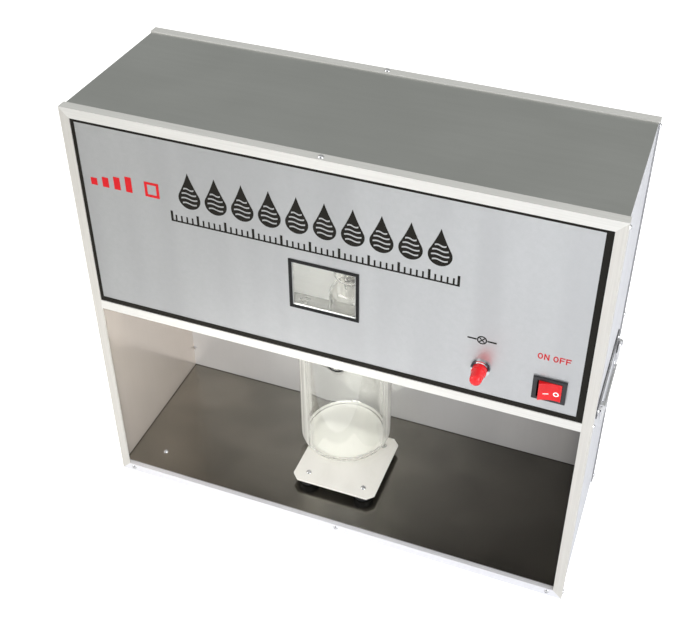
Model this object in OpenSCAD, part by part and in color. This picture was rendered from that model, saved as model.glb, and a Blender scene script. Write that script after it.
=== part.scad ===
// Glass water distiller: a bench cabinet framed in aluminium angle, with a quartz still behind the
// front panel and an open bay below it, where a beaker on a small stand takes the distillate.
// Millimetres. X runs across the front, Y from front to back, Z up; the origin is under the centre.

/* [Cabinet] */
// Overall width across the corner posts
cabinet_w = 520; // [500:5:640]
// Overall depth across the corner posts
cabinet_d = 180; // [178:1:220]
// Overall height
cabinet_h = 480; // [470:5:560]
// Height of the mid rail's top edge
mid_rail_top = 255; // [250:1:262]
// Thickness of the aluminium angle
angle_t = 1.2; // [1:0.1:1.5]
// Face width of the corner posts
post_face = 10; // [9:0.5:12]
// Face height of the rails
rail_face = 10.5; // [9:0.5:12]
// Depth of the angles' side and top legs
leg_d = 10; // [9:0.5:12]
// Thickness of the steel sheets
sheet_t = 1; // [0.8:0.1:1.3]
// Thickness of the bay liners
liner_t = 0.8; // [0.5:0.1:1]
// How far the bay floor stops short of the front
floor_setback = 5; // [3:0.5:8]
// Height of the rear bottom rail's upright leg
rear_rail_h = 20; // [16:1:30]

/* [Front panel] */
// Thickness of the front panel
panel_t = 1.5; // [1:0.1:2]
// Thickness of the border film
border_t = 0.3; // [0.2:0.1:0.5]
// Visible width of the border on the left
border_left = 3.5; // [2:0.5:8]
// Visible width of the border on the right
border_right = 6.5; // [2:0.5:8]
// Visible width of the border at the top
border_top = 3.2; // [2:0.2:8]
// Visible width of the border at the bottom
border_bottom = 5.5; // [2:0.5:8]
// Clear width of the window
window_w = 62; // [50:1:80]
// Clear height of the window
window_h = 49; // [40:1:60]
// Width of the window surround
surround_w = 3.2; // [2:0.2:5]
// How far the surround stays back from the window's edge
surround_back = 0.7; // [0.3:0.1:1.2]
// How far the surround stands proud of the panel
surround_t = 0.6; // [0.4:0.1:1]
// Window centre, from the cabinet's centre line
window_x = -1.5; // [-10:0.5:10]
// Window centre, above the mid rail
window_up = 82.5; // [75:0.5:90]
// Thickness of the window pane
pane_t = 3; // [2:0.5:4]

/* [Lamp] */
// Lamp axis, from the cabinet's right side
lamp_from_side = 108; // [90:1:130]
// Lamp axis, above the mid rail
lamp_up = 36; // [30:1:60]
// Radius of the cap at its foot
lamp_cap_r = 7.1; // [7:0.1:8]
// Radius of the cap's round end
lamp_tip_r = 5.8; // [5:0.1:6]
// How far the lamp stands proud of the panel
lamp_reach = 22.2; // [18:0.2:26]
// Radius of the bezel ring
lamp_bezel_r = 9.2; // [8.4:0.1:9.4]
// Thickness of the bezel ring
lamp_bezel_t = 2.8; // [2:0.2:4]
// Radius of the barrel through the panel
lamp_barrel_r = 5; // [4:0.1:5.5]
// Length of the barrel behind the panel
lamp_barrel_l = 26; // [20:1:32]

/* [Rocker switch] */
// Switch centre, from the cabinet's right side
switch_from_side = 43.5; // [38:0.5:60]
// Switch centre, above the mid rail
switch_up = 30.4; // [27:0.2:60]
// Width of the switch bezel
bezel_w = 31; // [28:0.5:33]
// Height of the switch bezel
bezel_h = 25.6; // [24.6:0.2:30]
// Thickness of the switch bezel
bezel_t = 2; // [1.5:0.1:2.5]
// Width of the mouth that the rocker moves in
mouth_w = 23; // [22.4:0.1:24]
// Height of the mouth
mouth_h = 20.2; // [19:0.2:21]
// Wall of the switch body behind the panel
switch_wall = 1.2; // [1:0.1:1.6]
// Depth of the switch body behind the panel
switch_body_d = 22; // [20:1:26]
// Half the rocker's travel
rocker_tilt = 11; // [8:0.5:12]
// Radius of the rocker's pins
rocker_pin_r = 1.5; // [1:0.1:1.8]

/* [Handles] */
// Height of the handles' pivots
handle_z = 243; // [200:1:300]
// Distance between the handle screws
handle_screw_span = 112; // [110:1:130]
// Height of the handle plate
handle_plate_h = 24; // [20:1:30]
// Thickness of the handle plate
handle_plate_t = 1.2; // [1:0.1:1.5]
// Distance of the bail's arms from the handle screws
bail_clear = 12; // [10:0.5:16]
// Drop of the bail's grip below its pivots
bail_drop = 24; // [18:1:34]
// Radius of the bail's rod
bail_r = 1.9; // [1.6:0.1:2.1]
// Radius of the bend at the bail's corners
bail_bend = 7; // [5:0.5:9]
// Distance of the pivots from the side panel
bail_off = 4; // [3.8:0.1:6]
// Radius of the bail's pivot pins
bail_pin_r = 1.4; // [1.2:0.1:1.5]
// Thickness of each pivot lug
lug_t = 4; // [3:0.5:4.5]

/* [Stand] */
// Width of the stand plate
stand_w = 98; // [90:1:130]
// Depth of the stand plate
stand_d = 96; // [88:1:120]
// Thickness of the stand plate
stand_t = 2; // [1.5:0.1:3]
// Length of its corner cuts
stand_cut = 7.5; // [4:0.5:12]
// Height of the rubber feet
foot_h = 10.4; // [8:0.2:16]
// Radius of the feet under the plate
foot_r = 11.5; // [9:0.5:13]
// Radius of the feet on the floor
foot_tip_r = 10.6; // [8:0.2:11]
// Distance of the feet's centres from the plate's left and right sides
foot_inset = 16; // [13:0.5:20]
// Distance of the feet's centres from the plate's front and rear sides
foot_setback = 14; // [13:0.5:20]
// Stand centre, from the cabinet's centre line
stand_x = -12; // [-30:1:30]
// Stand centre, from the middle of the depth
stand_y = -6.5; // [-20:0.5:0]

/* [Beaker] */
// Outer radius of the beaker
beaker_r = 52.5; // [45:0.5:56]
// Height of the beaker
beaker_h = 158; // [120:1:160]
// Wall of the beaker
beaker_wall = 3; // [2:0.2:4]
// Thickness of its base
beaker_base = 4; // [3:0.2:6]
// Outer radius of the bend between wall and base
beaker_bend = 14; // [10:0.5:18]
// Radius of the bead at the rim
bead_r = 1.9; // [1.6:0.1:2.4]
// How far the spout reaches past the wall
spout_reach = 7; // [4:0.5:9]
// Beaker centre, from the stand's centre, across
beaker_dx = -15; // [-20:1:10]
// Beaker centre, from the stand's centre, to the rear
beaker_dy = 37; // [20:0.5:40]

/* [Still] */
// Outer radius of the boiler
boiler_r = 34; // [30:0.5:36]
// Length of the boiler
boiler_l = 340; // [300:5:360]
// Wall of the quartz vessels
quartz_t = 2.2; // [1.8:0.1:2.8]
// Radius of the bend at the boiler's ends
boiler_bend = 15; // [12:1:16]
// Height of the boiler's axis above the deck, as a share of the compartment's height
boiler_share = 0.459; // [0.44:0.003:0.47]
// Gap between the boiler and the rear panel
boiler_gap = 7.8; // [6:0.2:9]
// Radius of the heater tubes
heater_r = 6; // [5:0.2:7]
// Distance of each heater from the boiler's axis, front to back
heater_dy = 13; // [12:0.5:15]
// Height of the heaters above the boiler's axis
heater_dz = 10; // [6:1:12]
// How far the heaters stand out of each end
heater_out = 26; // [24:1:30]
// Position of the saddles from the middle
saddle_x = 130; // [110:1:140]
// Thickness of the saddles
saddle_t = 5; // [3:0.5:8]
// Gap between the heat shield and the boiler
shield_gap = 7; // [6:0.5:9]
// Gap between the heat shield and the vapour bridge above it
shield_head = 6; // [4:0.5:12]
// Distance between the heat shield's ends and the side panels
shield_end = 46; // [38:1:54]

/* [Condenser] */
// Condenser axis, from the cabinet's centre line
condenser_x = 7; // [0:0.5:12]
// Gap between the condenser's bulb and the heat shield
condenser_gap = 3; // [2:0.5:6]
// Outer radius of the collecting bulb
bulb_r = 27; // [24:0.5:28]
// Height of the collecting bulb
bulb_h = 45; // [40:1:52]
// Radius of the bulb's shoulder
bulb_bend = 12; // [9:0.5:13]
// Height of the bulb above the deck
bulb_up = 9; // [6:0.5:12]
// Outer radius of the neck
neck_r = 12; // [11:0.2:13]
// Height of the neck above the bulb
neck_h = 82; // [78:1:90]
// Outer radius of the cooling jacket
jacket_r = 22; // [21:0.2:24]
// Height of the clip that holds the jacket
clip_h = 10; // [8:0.5:14]
// Width of the clip's arm
clip_w = 14; // [10:0.5:18]
// Thickness of the clip's ring
clip_t = 2.4; // [2:0.1:3]
// Width of the split in the clip's ring
clip_split = 8; // [6:0.5:10]
// Height of the cooling jacket
jacket_h = 58; // [52:1:64]
// Height of the jacket above the bulb
jacket_up = 12; // [10:1:16]
// Number of turns of the cooling coil
coil_turns = 8; // [5:1:9]
// Radius of the coil's tube
coil_tube_r = 1.8; // [1.4:0.1:2]
// Outer radius of the vapour bridge
bridge_r = 9.6; // [8:0.2:10]
// Gap between the vapour bridge and the top sheet
bridge_head = 8; // [6:0.5:9]
// Bend radius of the vapour bridge
bridge_bend = 22; // [18:1:26]
// Outer radius of the delivery tube
delivery_r = 4.5; // [3.5:0.1:5]
// Sideways reach of the delivery tube
delivery_reach = 30; // [18:1:32]
// Direction of that reach, from +X
delivery_turn = 121; // [90:1:160]

/* [Water and power] */
// Distance between rear nozzles of a pair
nozzle_pitch = 50; // [40:1:60]
// Outer radius of the nozzles
nozzle_r = 5; // [4:0.1:6]
// Bore radius of the nozzles
nozzle_bore_r = 3.2; // [2.5:0.1:3.8]
// How far the nozzles stand out behind the cabinet
nozzle_out = 21; // [16:1:30]
// Distance of the feed nozzle from the left side panel
feed_nozzle_in = 32; // [28:1:40]
// First cooling nozzle, from the cabinet's centre line
cool_nozzle_at = 60; // [55:1:64]
// Height of the nozzles above the deck
nozzle_up = 29; // [24:1:36]
// Radius of the hoses
hose_r = 5; // [4:0.2:5.4]
// Radius of the level bottle
bottle_r = 30; // [26:1:32]
// Height of the level bottle
bottle_h = 92; // [80:1:110]
// Radius of the bottle's neck
bottle_neck_r = 17; // [14:0.5:18]
// Bore radius of the cable gland
gland_bore_r = 4; // [3:0.1:4.5]
// How far the gland stands out
gland_out = 18; // [14:1:21]
// Distance of the gland from the right side panel
gland_in = 58; // [52:1:64]
// Number of ways of the terminal block
terminal_ways = 4; // [3:1:5]

/* [Screws] */
// Radius of a frame screw's head
head_r = 2.8; // [2.4:0.1:3.2]
// Height of a frame screw's head
head_h = 1.8; // [1.4:0.1:2.2]
// Radius of a frame screw's shank
shank_r = 1.5; // [1.2:0.1:1.7]
// Clearance between a shank and its hole
hole_gap = 0.2; // [0.1:0.05:0.3]
// Clearance of a running fit, on the radius
run_gap = 0.05; // [0.03:0.01:0.08]
// Clearance between parts that are lifted off and what they stand on
seat_gap = 0.1; // [0.05:0.05:0.3]

/* [Hidden] */
$fn = 48;
eps = 0.01;

// Faces of the cabinet
side_x = cabinet_w / 2;
front_y = -cabinet_d / 2;
rear_y = cabinet_d / 2;
open_x = side_x - post_face;
skin_x = side_x - angle_t;
inner_x = skin_x - sheet_t;
bay_x = inner_x - liner_t;
panel_y = front_y + angle_t;
back_y = rear_y - angle_t - sheet_t;
top_z = cabinet_h - angle_t - sheet_t;
floor_z = rail_face + sheet_t;
shelf_z = mid_rail_top - rail_face + angle_t;
deck_z = shelf_z + sheet_t;
leg_mid = leg_d / 2;
hole_r = shank_r + hole_gap;
grip_l = 4.6;

// Screws through the posts' side legs, and through their rear legs
side_screw_z = [rail_face * 0.66, mid_rail_top - 4.5, cabinet_h - rail_face * 0.66];
rear_screw_z = [rear_rail_h + 20, mid_rail_top + 7, cabinet_h - rail_face - 30];
// Screws through the front bottom rail, and those on the top flanges
base_screw_x = [-open_x + 5.5, 7, open_x - 6.5];
base_screw_z = (rail_face - angle_t) * 0.65;
top_screw_x = -3;
// Earth screw through the bay floor, near its front left corner
earth_x = -inner_x + 38.5;
earth_y = front_y + 30;

lamp_x = side_x - lamp_from_side;
switch_x = side_x - switch_from_side;
lamp_z = mid_rail_top + lamp_up;
switch_z = mid_rail_top + switch_up;
window_z = mid_rail_top + window_up;

// Handles
bail_span = handle_screw_span - 2 * bail_clear;
lug_in = bail_span / 2 + bail_r + 0.4;
plate_half = handle_screw_span / 2 + head_r + 3;
pivot_x = skin_x + bail_off;

// Stand and beaker
stand_top = floor_z + seat_gap + foot_h + stand_t;
foot_dx = stand_w / 2 - foot_inset;
foot_dy = stand_d / 2 - foot_setback;
stand_hole_r = 2;
sink_h = 1.8;
beaker_x = stand_x + beaker_dx;
beaker_y = stand_y + beaker_dy;
beaker_z = stand_top + seat_gap;

// Still
boiler_up = boiler_share * (top_z - deck_z);
boiler_z = deck_z + boiler_up;
boiler_y = back_y - boiler_gap - boiler_r;
shield_y = boiler_y - boiler_r - shield_gap - sheet_t;
socket_r = bridge_r + 0.3;
socket_out_r = socket_r + quartz_t;
boiler_neck_top = boiler_z + boiler_r + 14;
condenser_y = shield_y - condenser_gap - bulb_r;
bulb_z = deck_z + bulb_up;
bulb_top = bulb_z + bulb_h;
neck_top = bulb_top + neck_h;
bridge_z = top_z - bridge_head - bridge_r;
shield_h = bridge_z - bridge_r - shield_head - deck_z;
shield_half = inner_x - shield_end;
socket_depth = 12;
jacket_z = bulb_top + jacket_up;
coil_r = neck_r + hole_gap + coil_tube_r;
coil_pitch = (jacket_h - 16) / coil_turns;
stub_r = 4;
stub_out = 11;
stub_low = jacket_z + 8;
stub_high = jacket_z + jacket_h - 8;
feed_x = -90;

// Delivery tube: two equal bends with a straight between them
delivery_bend = 14;
delivery_angle = 45;
delivery_run = (delivery_reach - 2 * delivery_bend * (1 - cos(delivery_angle))) / sin(delivery_angle);
delivery_top = shelf_z - 3;
delivery_drop = 2 * delivery_bend * sin(delivery_angle) + delivery_run * cos(delivery_angle);
delivery_tip = 5;

// Rear fittings
nozzle_z = deck_z + nozzle_up;
feed_nozzle_x = -inner_x + feed_nozzle_in;
cool_nozzle_x = [cool_nozzle_at, cool_nozzle_at + nozzle_pitch];
nozzle_in = 13;
nozzle_root_r = nozzle_r + 0.6;
nut_r = 9;
nut_t = 4;
gland_x = inner_x - gland_in;
bottle_x = -inner_x * 0.58;
bottle_y = (panel_y + panel_t + shield_y) / 2;
bottle_stub_z = deck_z + 14;
cap_z = deck_z + bottle_h + 2;
cap_h = 18;
cap_tube_x = bottle_neck_r * 0.53;
hole_low = nozzle_z - 5;
hose_end = 0.7;

// ---------------------------------------------------------------- shared shapes

// A solid whose 2D outline in X and Z is pushed back from y0 to y0 + t
module plate_xz(y0, t) {
    translate([0, y0 + t, 0]) rotate([90, 0, 0]) linear_extrude(t) children();
}

// A rod or bore along Y, from y0 to y1
module rod_y(r, y0, y1) {
    translate([0, y0, 0]) rotate([-90, 0, 0]) cylinder(r = r, h = y1 - y0);
}

// A rod or bore along X, from x0 to x1
module rod_x(r, x0, x1) {
    translate([x0, 0, 0]) rotate([0, 90, 0]) cylinder(r = r, h = x1 - x0);
}

// Half section of a round body with bent edges
module round_body_section(r, h, bend) {
    square([r - bend, h]);
    translate([0, bend]) square([r, h - 2 * bend]);
    translate([r - bend, bend]) circle(bend);
    translate([r - bend, h - bend]) circle(bend);
}

// Half section of a vessel with a bent base and straight sides
module cup_section(r, h, bend) {
    square([r - bend, h]);
    translate([0, bend]) square([r, h - bend]);
    translate([r - bend, bend]) circle(bend);
}

// Pan head screw pointing down, its seat at z = 0
module pan_screw(r = head_r, h = head_h, shank = shank_r, l = grip_l) {
    dome = (r * r + h * h) / (2 * h);
    difference() {
        union() {
            intersection() {
                cylinder(r = r, h = h);
                translate([0, 0, h - dome]) sphere(dome);
            }
            translate([0, 0, -l]) cylinder(r = shank, h = l + eps);
        }
        for (turn = [0, 90])
            rotate(turn) translate([-r * 0.6, -0.35, h * 0.5]) cube([r * 1.2, 0.7, h]);
    }
}

// Points of a smooth route through hand-set points
function spline(p, i, t) =
    let (n = len(p), a = p[max(i - 1, 0)], b = p[i], c = p[i + 1], d = p[min(i + 2, n - 1)])
    0.5 * (2 * b + (c - a) * t + (2 * a - 5 * b + 4 * c - d) * t * t
        + (3 * b - 3 * c + d - a) * t * t * t);
function route(p, steps) = [
    for (i = [0 : len(p) - 2], k = [0 : steps - 1]) spline(p, i, k / steps), p[len(p) - 1]
];
function unit(v) = v / norm(v);
function next_side(u, dir) = unit(u - (u * dir) * dir);
function sides(path, i, u) = i >= len(path) ? [] :
    let (dir = unit(path[min(i + 1, len(path) - 1)] - path[max(i - 1, 0)]), v = next_side(u, dir))
    concat([[v, cross(dir, v)]], sides(path, i + 1, v));

// Round tube along a path, with n sides
module tube_along(path, r, n = 8, start = [0, 0, 1]) {
    frames = sides(path, 0, start);
    rings = len(path);
    points = [
        for (i = [0 : rings - 1], k = [0 : n - 1])
            path[i] + r * (cos(360 * k / n) * frames[i][0] + sin(360 * k / n) * frames[i][1])
    ];
    skin = [
        for (i = [0 : rings - 2], k = [0 : n - 1])
            let (a = i * n + k, b = i * n + (k + 1) % n)
            each [[a, b + n, b], [a, a + n, b + n]]
    ];
    first = [for (k = [1 : n - 2]) [0, k, k + 1]];
    last = [for (k = [1 : n - 2]) let (a = (rings - 1) * n) [a, a + k + 1, a + k]];
    polyhedron(points, concat(skin, first, last), convexity = 6);
}

// ---------------------------------------------------------------- frame

module side_screw_holes() {
    for (z = side_screw_z)
        translate([0, front_y + leg_mid, z]) rod_x(hole_r, inner_x - 3, side_x + 1);
}

module rear_screw_holes() {
    for (z = rear_screw_z)
        translate([side_x - leg_mid, 0, z]) rod_y(hole_r, back_y - 1, rear_y + 1);
}

// Right front post; the others are its mirror images
module corner_post(rear = false) {
    section = [
        [side_x, front_y], [side_x, front_y + leg_d], [skin_x, front_y + leg_d],
        [skin_x, panel_y], [open_x, panel_y], [open_x, front_y],
    ];
    foot_h = rear ? rear_rail_h : rail_face;
    difference() {
        linear_extrude(cabinet_h) polygon(section);
        plate_xz(front_y - 1, angle_t + 1) {
            polygon([[open_x - 1, cabinet_h - rail_face], [open_x, cabinet_h - rail_face],
                [side_x, cabinet_h], [side_x, cabinet_h + 1], [open_x - 1, cabinet_h + 1]]);
            if (rear)
                translate([open_x - 1, -1]) square([post_face - angle_t + 1, foot_h + 1]);
            else
                polygon([[open_x - 1, foot_h], [open_x, foot_h], [side_x, 0],
                    [side_x, -1], [open_x - 1, -1]]);
        }
        translate([open_x, panel_y, cabinet_h - angle_t]) cube([post_face + 1, leg_d, angle_t + 1]);
        side_screw_holes();
        if (rear) mirror([0, 1, 0]) rear_screw_holes();
    }
}

// Front leg of a rail, mitred into the posts
module mitred_leg(z_out, z_in) {
    plate_xz(front_y, angle_t)
        polygon([[-side_x, z_out], [side_x, z_out], [open_x, z_in], [-open_x, z_in]]);
}

module top_rail() {
    difference() {
        union() {
            mitred_leg(cabinet_h, cabinet_h - rail_face);
            translate([0, 0, cabinet_h - angle_t]) linear_extrude(angle_t) polygon([
                [-open_x, front_y], [open_x, front_y], [open_x, panel_y], [side_x, panel_y],
                [side_x, front_y + leg_d], [-side_x, front_y + leg_d],
                [-side_x, panel_y], [-open_x, panel_y],
            ]);
        }
        translate([top_screw_x, front_y + leg_mid, top_z]) cylinder(r = hole_r, h = rail_face);
    }
}

module front_left_post() {
    color("Gainsboro") mirror([1, 0, 0]) corner_post();
}

module front_right_post() {
    color("Gainsboro") corner_post();
}

module rear_left_post() {
    color("Gainsboro") mirror([1, 0, 0]) mirror([0, 1, 0]) corner_post(rear = true);
}

module rear_right_post() {
    color("Gainsboro") mirror([0, 1, 0]) corner_post(rear = true);
}

module front_top_rail() {
    color("Gainsboro") top_rail();
}

module rear_top_rail() {
    color("Gainsboro") mirror([0, 1, 0]) top_rail();
}

module front_mid_rail() {
    low = mid_rail_top - rail_face;
    color("Gainsboro") {
        translate([-open_x, front_y, low]) cube([2 * open_x, angle_t, rail_face]);
        translate([-bay_x, panel_y, low]) cube([2 * bay_x, leg_d - angle_t, angle_t]);
    }
}

module front_bottom_rail() {
    color("WhiteSmoke") difference() {
        union() {
            mitred_leg(0, rail_face);
            translate([0, 0, rail_face - angle_t]) linear_extrude(angle_t) polygon([
                [-open_x, front_y], [open_x, front_y], [open_x, panel_y], [inner_x - angle_t, panel_y],
                [inner_x - angle_t, front_y + leg_d], [-inner_x + angle_t, front_y + leg_d],
                [-inner_x + angle_t, panel_y], [-open_x, panel_y],
            ]);
        }
        for (x = base_screw_x)
            translate([x, 0, base_screw_z]) rod_y(hole_r, front_y - 1, panel_y + 1);
    }
}

module rear_bottom_rail() {
    color("Gainsboro") {
        translate([-skin_x, rear_y - angle_t, 0]) cube([2 * skin_x, angle_t, rear_rail_h]);
        translate([-inner_x + angle_t, rear_y - leg_d, rail_face - angle_t])
            cube([2 * (inner_x - angle_t), leg_d - angle_t + eps, angle_t]);
    }
}

module side_bottom_rails() {
    color("Gainsboro") for (side = [0, 1]) mirror([side, 0, 0]) difference() {
        union() {
            translate([inner_x - angle_t, panel_y, 0])
                cube([angle_t, -2 * panel_y, rail_face]);
            translate([inner_x - leg_d, front_y + leg_d, rail_face - angle_t])
                cube([leg_d - angle_t + eps, cabinet_d - 2 * leg_d, angle_t]);
        }
        side_screw_holes();
        mirror([0, 1, 0]) side_screw_holes();
    }
}

module top_sheet() {
    color("Gray") difference() {
        translate([-skin_x, panel_y, top_z]) cube([2 * skin_x, -2 * panel_y, sheet_t]);
        for (y = [front_y + leg_mid, rear_y - leg_mid])
            translate([top_screw_x, y, top_z - 1]) cylinder(r = hole_r, h = sheet_t + 2);
    }
}

module side_panel() {
    difference() {
        translate([inner_x, panel_y, 0]) cube([sheet_t, -2 * panel_y, top_z]);
        side_screw_holes();
        mirror([0, 1, 0]) side_screw_holes();
        for (y = [-1, 1])
            translate([0, y * handle_screw_span / 2, handle_z]) rod_x(hole_r, inner_x - 1, side_x);
    }
}

module left_side_panel() {
    color("Lavender") mirror([1, 0, 0]) side_panel();
}

module right_side_panel() {
    color("Lavender") side_panel();
}

// Rear panel, pierced for the nozzles and the gland, with two fields of air slots near the top
module rear_panel() {
    slot_w = 3.2;
    slot_l = 44;
    slot_pitch = 9;
    slots = 9;
    slot_low = cabinet_h - rail_face - slot_l - 25;
    color("Silver") difference() {
        translate([-inner_x, back_y, floor_z]) cube([2 * inner_x, sheet_t, top_z - floor_z]);
        for (x = concat([feed_nozzle_x], cool_nozzle_x))
            translate([x, 0, nozzle_z]) rod_y(nozzle_root_r + hole_gap, back_y - 1, rear_y);
        translate([gland_x, 0, nozzle_z]) rod_y(gland_bore_r + 2 + hole_gap, back_y - 1, rear_y);
        for (field = [-1, 1], i = [0 : slots - 1])
            translate([field * inner_x / 2 + (i - (slots - 1) / 2) * slot_pitch, 0, slot_low])
                plate_xz(back_y - 1, sheet_t + 2) {
                    translate([-slot_w / 2, 0]) square([slot_w, slot_l]);
                    circle(d = slot_w);
                    translate([0, slot_l]) circle(d = slot_w);
                }
        rear_screw_holes();
        mirror([1, 0, 0]) rear_screw_holes();
    }
}

module bay_floor() {
    color("DimGray") difference() {
        translate([-inner_x, front_y + floor_setback, rail_face])
            cube([2 * inner_x, rear_y - angle_t - front_y - floor_setback, sheet_t]);
        translate([earth_x, earth_y, rail_face - 1]) cylinder(r = hole_r, h = sheet_t + 2);
    }
}

module bay_liner() {
    difference() {
        translate([bay_x, panel_y, floor_z]) cube([liner_t, back_y - panel_y, shelf_z - floor_z]);
        for (y = [-1, 1])
            translate([0, y * handle_screw_span / 2, handle_z]) rod_x(hole_r, bay_x - 1, inner_x + 1);
    }
}

module left_bay_liner() {
    color("RosyBrown") mirror([1, 0, 0]) bay_liner();
}

module right_bay_liner() {
    color("RosyBrown") bay_liner();
}

module divider_shelf() {
    color("LightGray") difference() {
        translate([-inner_x, panel_y, shelf_z]) cube([2 * inner_x, back_y - panel_y, sheet_t]);
        translate([condenser_x, condenser_y, shelf_z - 1])
            cylinder(r = delivery_r + 2.5, h = sheet_t + 2);
    }
}

// Every screw of the frame, seated on its angle
module frame_screws() {
    color("WhiteSmoke") {
        for (side = [0, 1], back = [0, 1]) mirror([side, 0, 0]) mirror([0, back, 0])
            for (z = side_screw_z)
                translate([side_x, front_y + leg_mid, z]) rotate([0, 90, 0]) pan_screw();
        for (side = [0, 1]) mirror([side, 0, 0]) for (z = rear_screw_z)
            translate([side_x - leg_mid, rear_y, z]) rotate([-90, 0, 0]) pan_screw();
        for (x = base_screw_x)
            translate([x, front_y, base_screw_z]) rotate([90, 0, 0]) pan_screw();
        for (y = [front_y + leg_mid, rear_y - leg_mid])
            translate([top_screw_x, y, cabinet_h]) pan_screw();
        translate([earth_x, earth_y, floor_z]) pan_screw();
        translate([earth_x, earth_y, rail_face - 2]) cylinder(r = head_r, h = 2, $fn = 6);
    }
}

// ---------------------------------------------------------------- front panel

module front_panel() {
    color("Silver") difference() {
        translate([-inner_x, panel_y, deck_z]) cube([2 * inner_x, panel_t, top_z - deck_z]);
        plate_xz(panel_y - 1, panel_t + 2) {
            translate([window_x, window_z]) square([window_w, window_h], center = true);
            translate([switch_x, switch_z])
                square([body_w() + 2 * hole_gap, body_h() + 2 * hole_gap], center = true);
        }
        translate([lamp_x, 0, lamp_z])
            rod_y(lamp_barrel_r + hole_gap, panel_y - 1, panel_y + panel_t + 1);
    }
}

// Black border between the rails and posts
module panel_border() {
    low = mid_rail_top;
    high = cabinet_h - rail_face;
    color("Black") plate_xz(panel_y - border_t, border_t) difference() {
        translate([-open_x, low]) square([2 * open_x, high - low]);
        translate([-open_x + border_left, low + border_bottom])
            square([2 * open_x - border_left - border_right, high - low - border_top - border_bottom]);
    }
}

// Frame round the window; a bright line of the panel shows between it and the pane
module window_surround() {
    open_w = window_w + 2 * surround_back;
    open_h = window_h + 2 * surround_back;
    color("Black") plate_xz(panel_y - surround_t, surround_t) translate([window_x, window_z])
        difference() {
            square([open_w + 2 * surround_w, open_h + 2 * surround_w], center = true);
            square([open_w, open_h], center = true);
        }
}

module window_pane() {
    lap = 6;
    color("Azure", 0.4) plate_xz(panel_y + panel_t, pane_t) translate([window_x, window_z])
        square([window_w + 2 * lap, window_h + 2 * lap], center = true);
}

// ---------------------------------------------------------------- lamp

// Cap: a tapered red plastic thimble with a round end, hollow for the neon bulb
module lamp_cap() {
    length = lamp_reach - lamp_bezel_t;
    collar = 5;
    color("Red") translate([lamp_x, panel_y - lamp_bezel_t, lamp_z]) rotate([90, 0, 0]) difference() {
        union() {
            cylinder(r = lamp_cap_r, h = collar);
            translate([0, 0, collar - eps])
                cylinder(r1 = lamp_cap_r - 0.5, r2 = lamp_tip_r, h = length - lamp_tip_r - collar + eps);
            translate([0, 0, length - lamp_tip_r]) sphere(lamp_tip_r);
        }
        translate([0, 0, -1]) cylinder(r = lamp_tip_r - 1.6, h = length - lamp_tip_r);
    }
}

module lamp_bezel() {
    color("White") translate([lamp_x, panel_y, lamp_z]) rotate([90, 0, 0]) difference() {
        union() {
            cylinder(r = lamp_bezel_r, h = lamp_bezel_t - 0.8);
            cylinder(r1 = lamp_bezel_r, r2 = lamp_cap_r + 0.5, h = lamp_bezel_t);
        }
        translate([0, 0, -1]) cylinder(r = lamp_barrel_r + hole_gap, h = lamp_bezel_t + 2);
    }
}

// Barrel through the panel, with its nut and two tags behind
module lamp_barrel() {
    nut_z = panel_t;
    color("DimGray") translate([lamp_x, panel_y, lamp_z]) rotate([-90, 0, 0]) {
        translate([0, 0, -lamp_bezel_t]) cylinder(r = lamp_barrel_r, h = lamp_barrel_l + lamp_bezel_t);
        translate([0, 0, nut_z]) cylinder(r = lamp_bezel_r, h = 3, $fn = 6);
        for (side = [-1, 1])
            translate([side * 2.2 - 0.4, -1.4, lamp_barrel_l - eps]) cube([0.8, 2.8, 6]);
    }
}

// ---------------------------------------------------------------- rocker switch

function body_w() = mouth_w + 2 * switch_wall;
function body_h() = mouth_h + 2 * switch_wall;
rocker_pivot = 3;
rocker_half = mouth_w / 2 - 1.2;
rocker_proud = 3.1;

// Housing: the bezel in front, an open-mouthed box through the panel
module switch_housing() {
    cavity = 13;
    color("Black") translate([switch_x, 0, switch_z]) difference() {
        union() {
            plate_xz(panel_y - bezel_t, bezel_t) square([bezel_w, bezel_h], center = true);
            plate_xz(panel_y - eps, switch_body_d + eps) square([body_w(), body_h()], center = true);
        }
        plate_xz(panel_y - bezel_t - 1, cavity + 1) square([mouth_w, mouth_h], center = true);
        translate([0, panel_y - bezel_t + rocker_pivot, -body_h() / 2 - 1])
            cylinder(r = rocker_pin_r + run_gap, h = body_h() + 2);
    }
}

// Rocker, seen from above: a shallow vee in front, a foot behind, and a pin at each end
module switch_rocker() {
    tall = mouth_h - 0.6;
    color("Red") translate([switch_x, panel_y - bezel_t + rocker_pivot, switch_z])
        rotate(rocker_tilt) {
            translate([0, 0, -tall / 2]) linear_extrude(tall) difference() {
                polygon([
                    [-rocker_half, 2], [-rocker_half, -rocker_pivot - rocker_proud],
                    [rocker_half, -rocker_pivot - rocker_proud], [rocker_half, 2], [3.5, 6.4], [-3.5, 6.4],
                ]);
                translate([0, -rocker_pivot - rocker_proud - 28]) circle(30, $fn = 96);
            }
            pin_l = body_h() - 0.4;
            translate([0, 0, -pin_l / 2]) cylinder(r = rocker_pin_r, h = pin_l);
        }
}

module switch_terminals() {
    color("Goldenrod") for (side = [-1, 0, 1])
        translate([switch_x + side * 7 - 0.4, panel_y + switch_body_d, switch_z - 3.2])
            cube([0.8, 9, 6.4]);
}

// ---------------------------------------------------------------- handles

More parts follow.
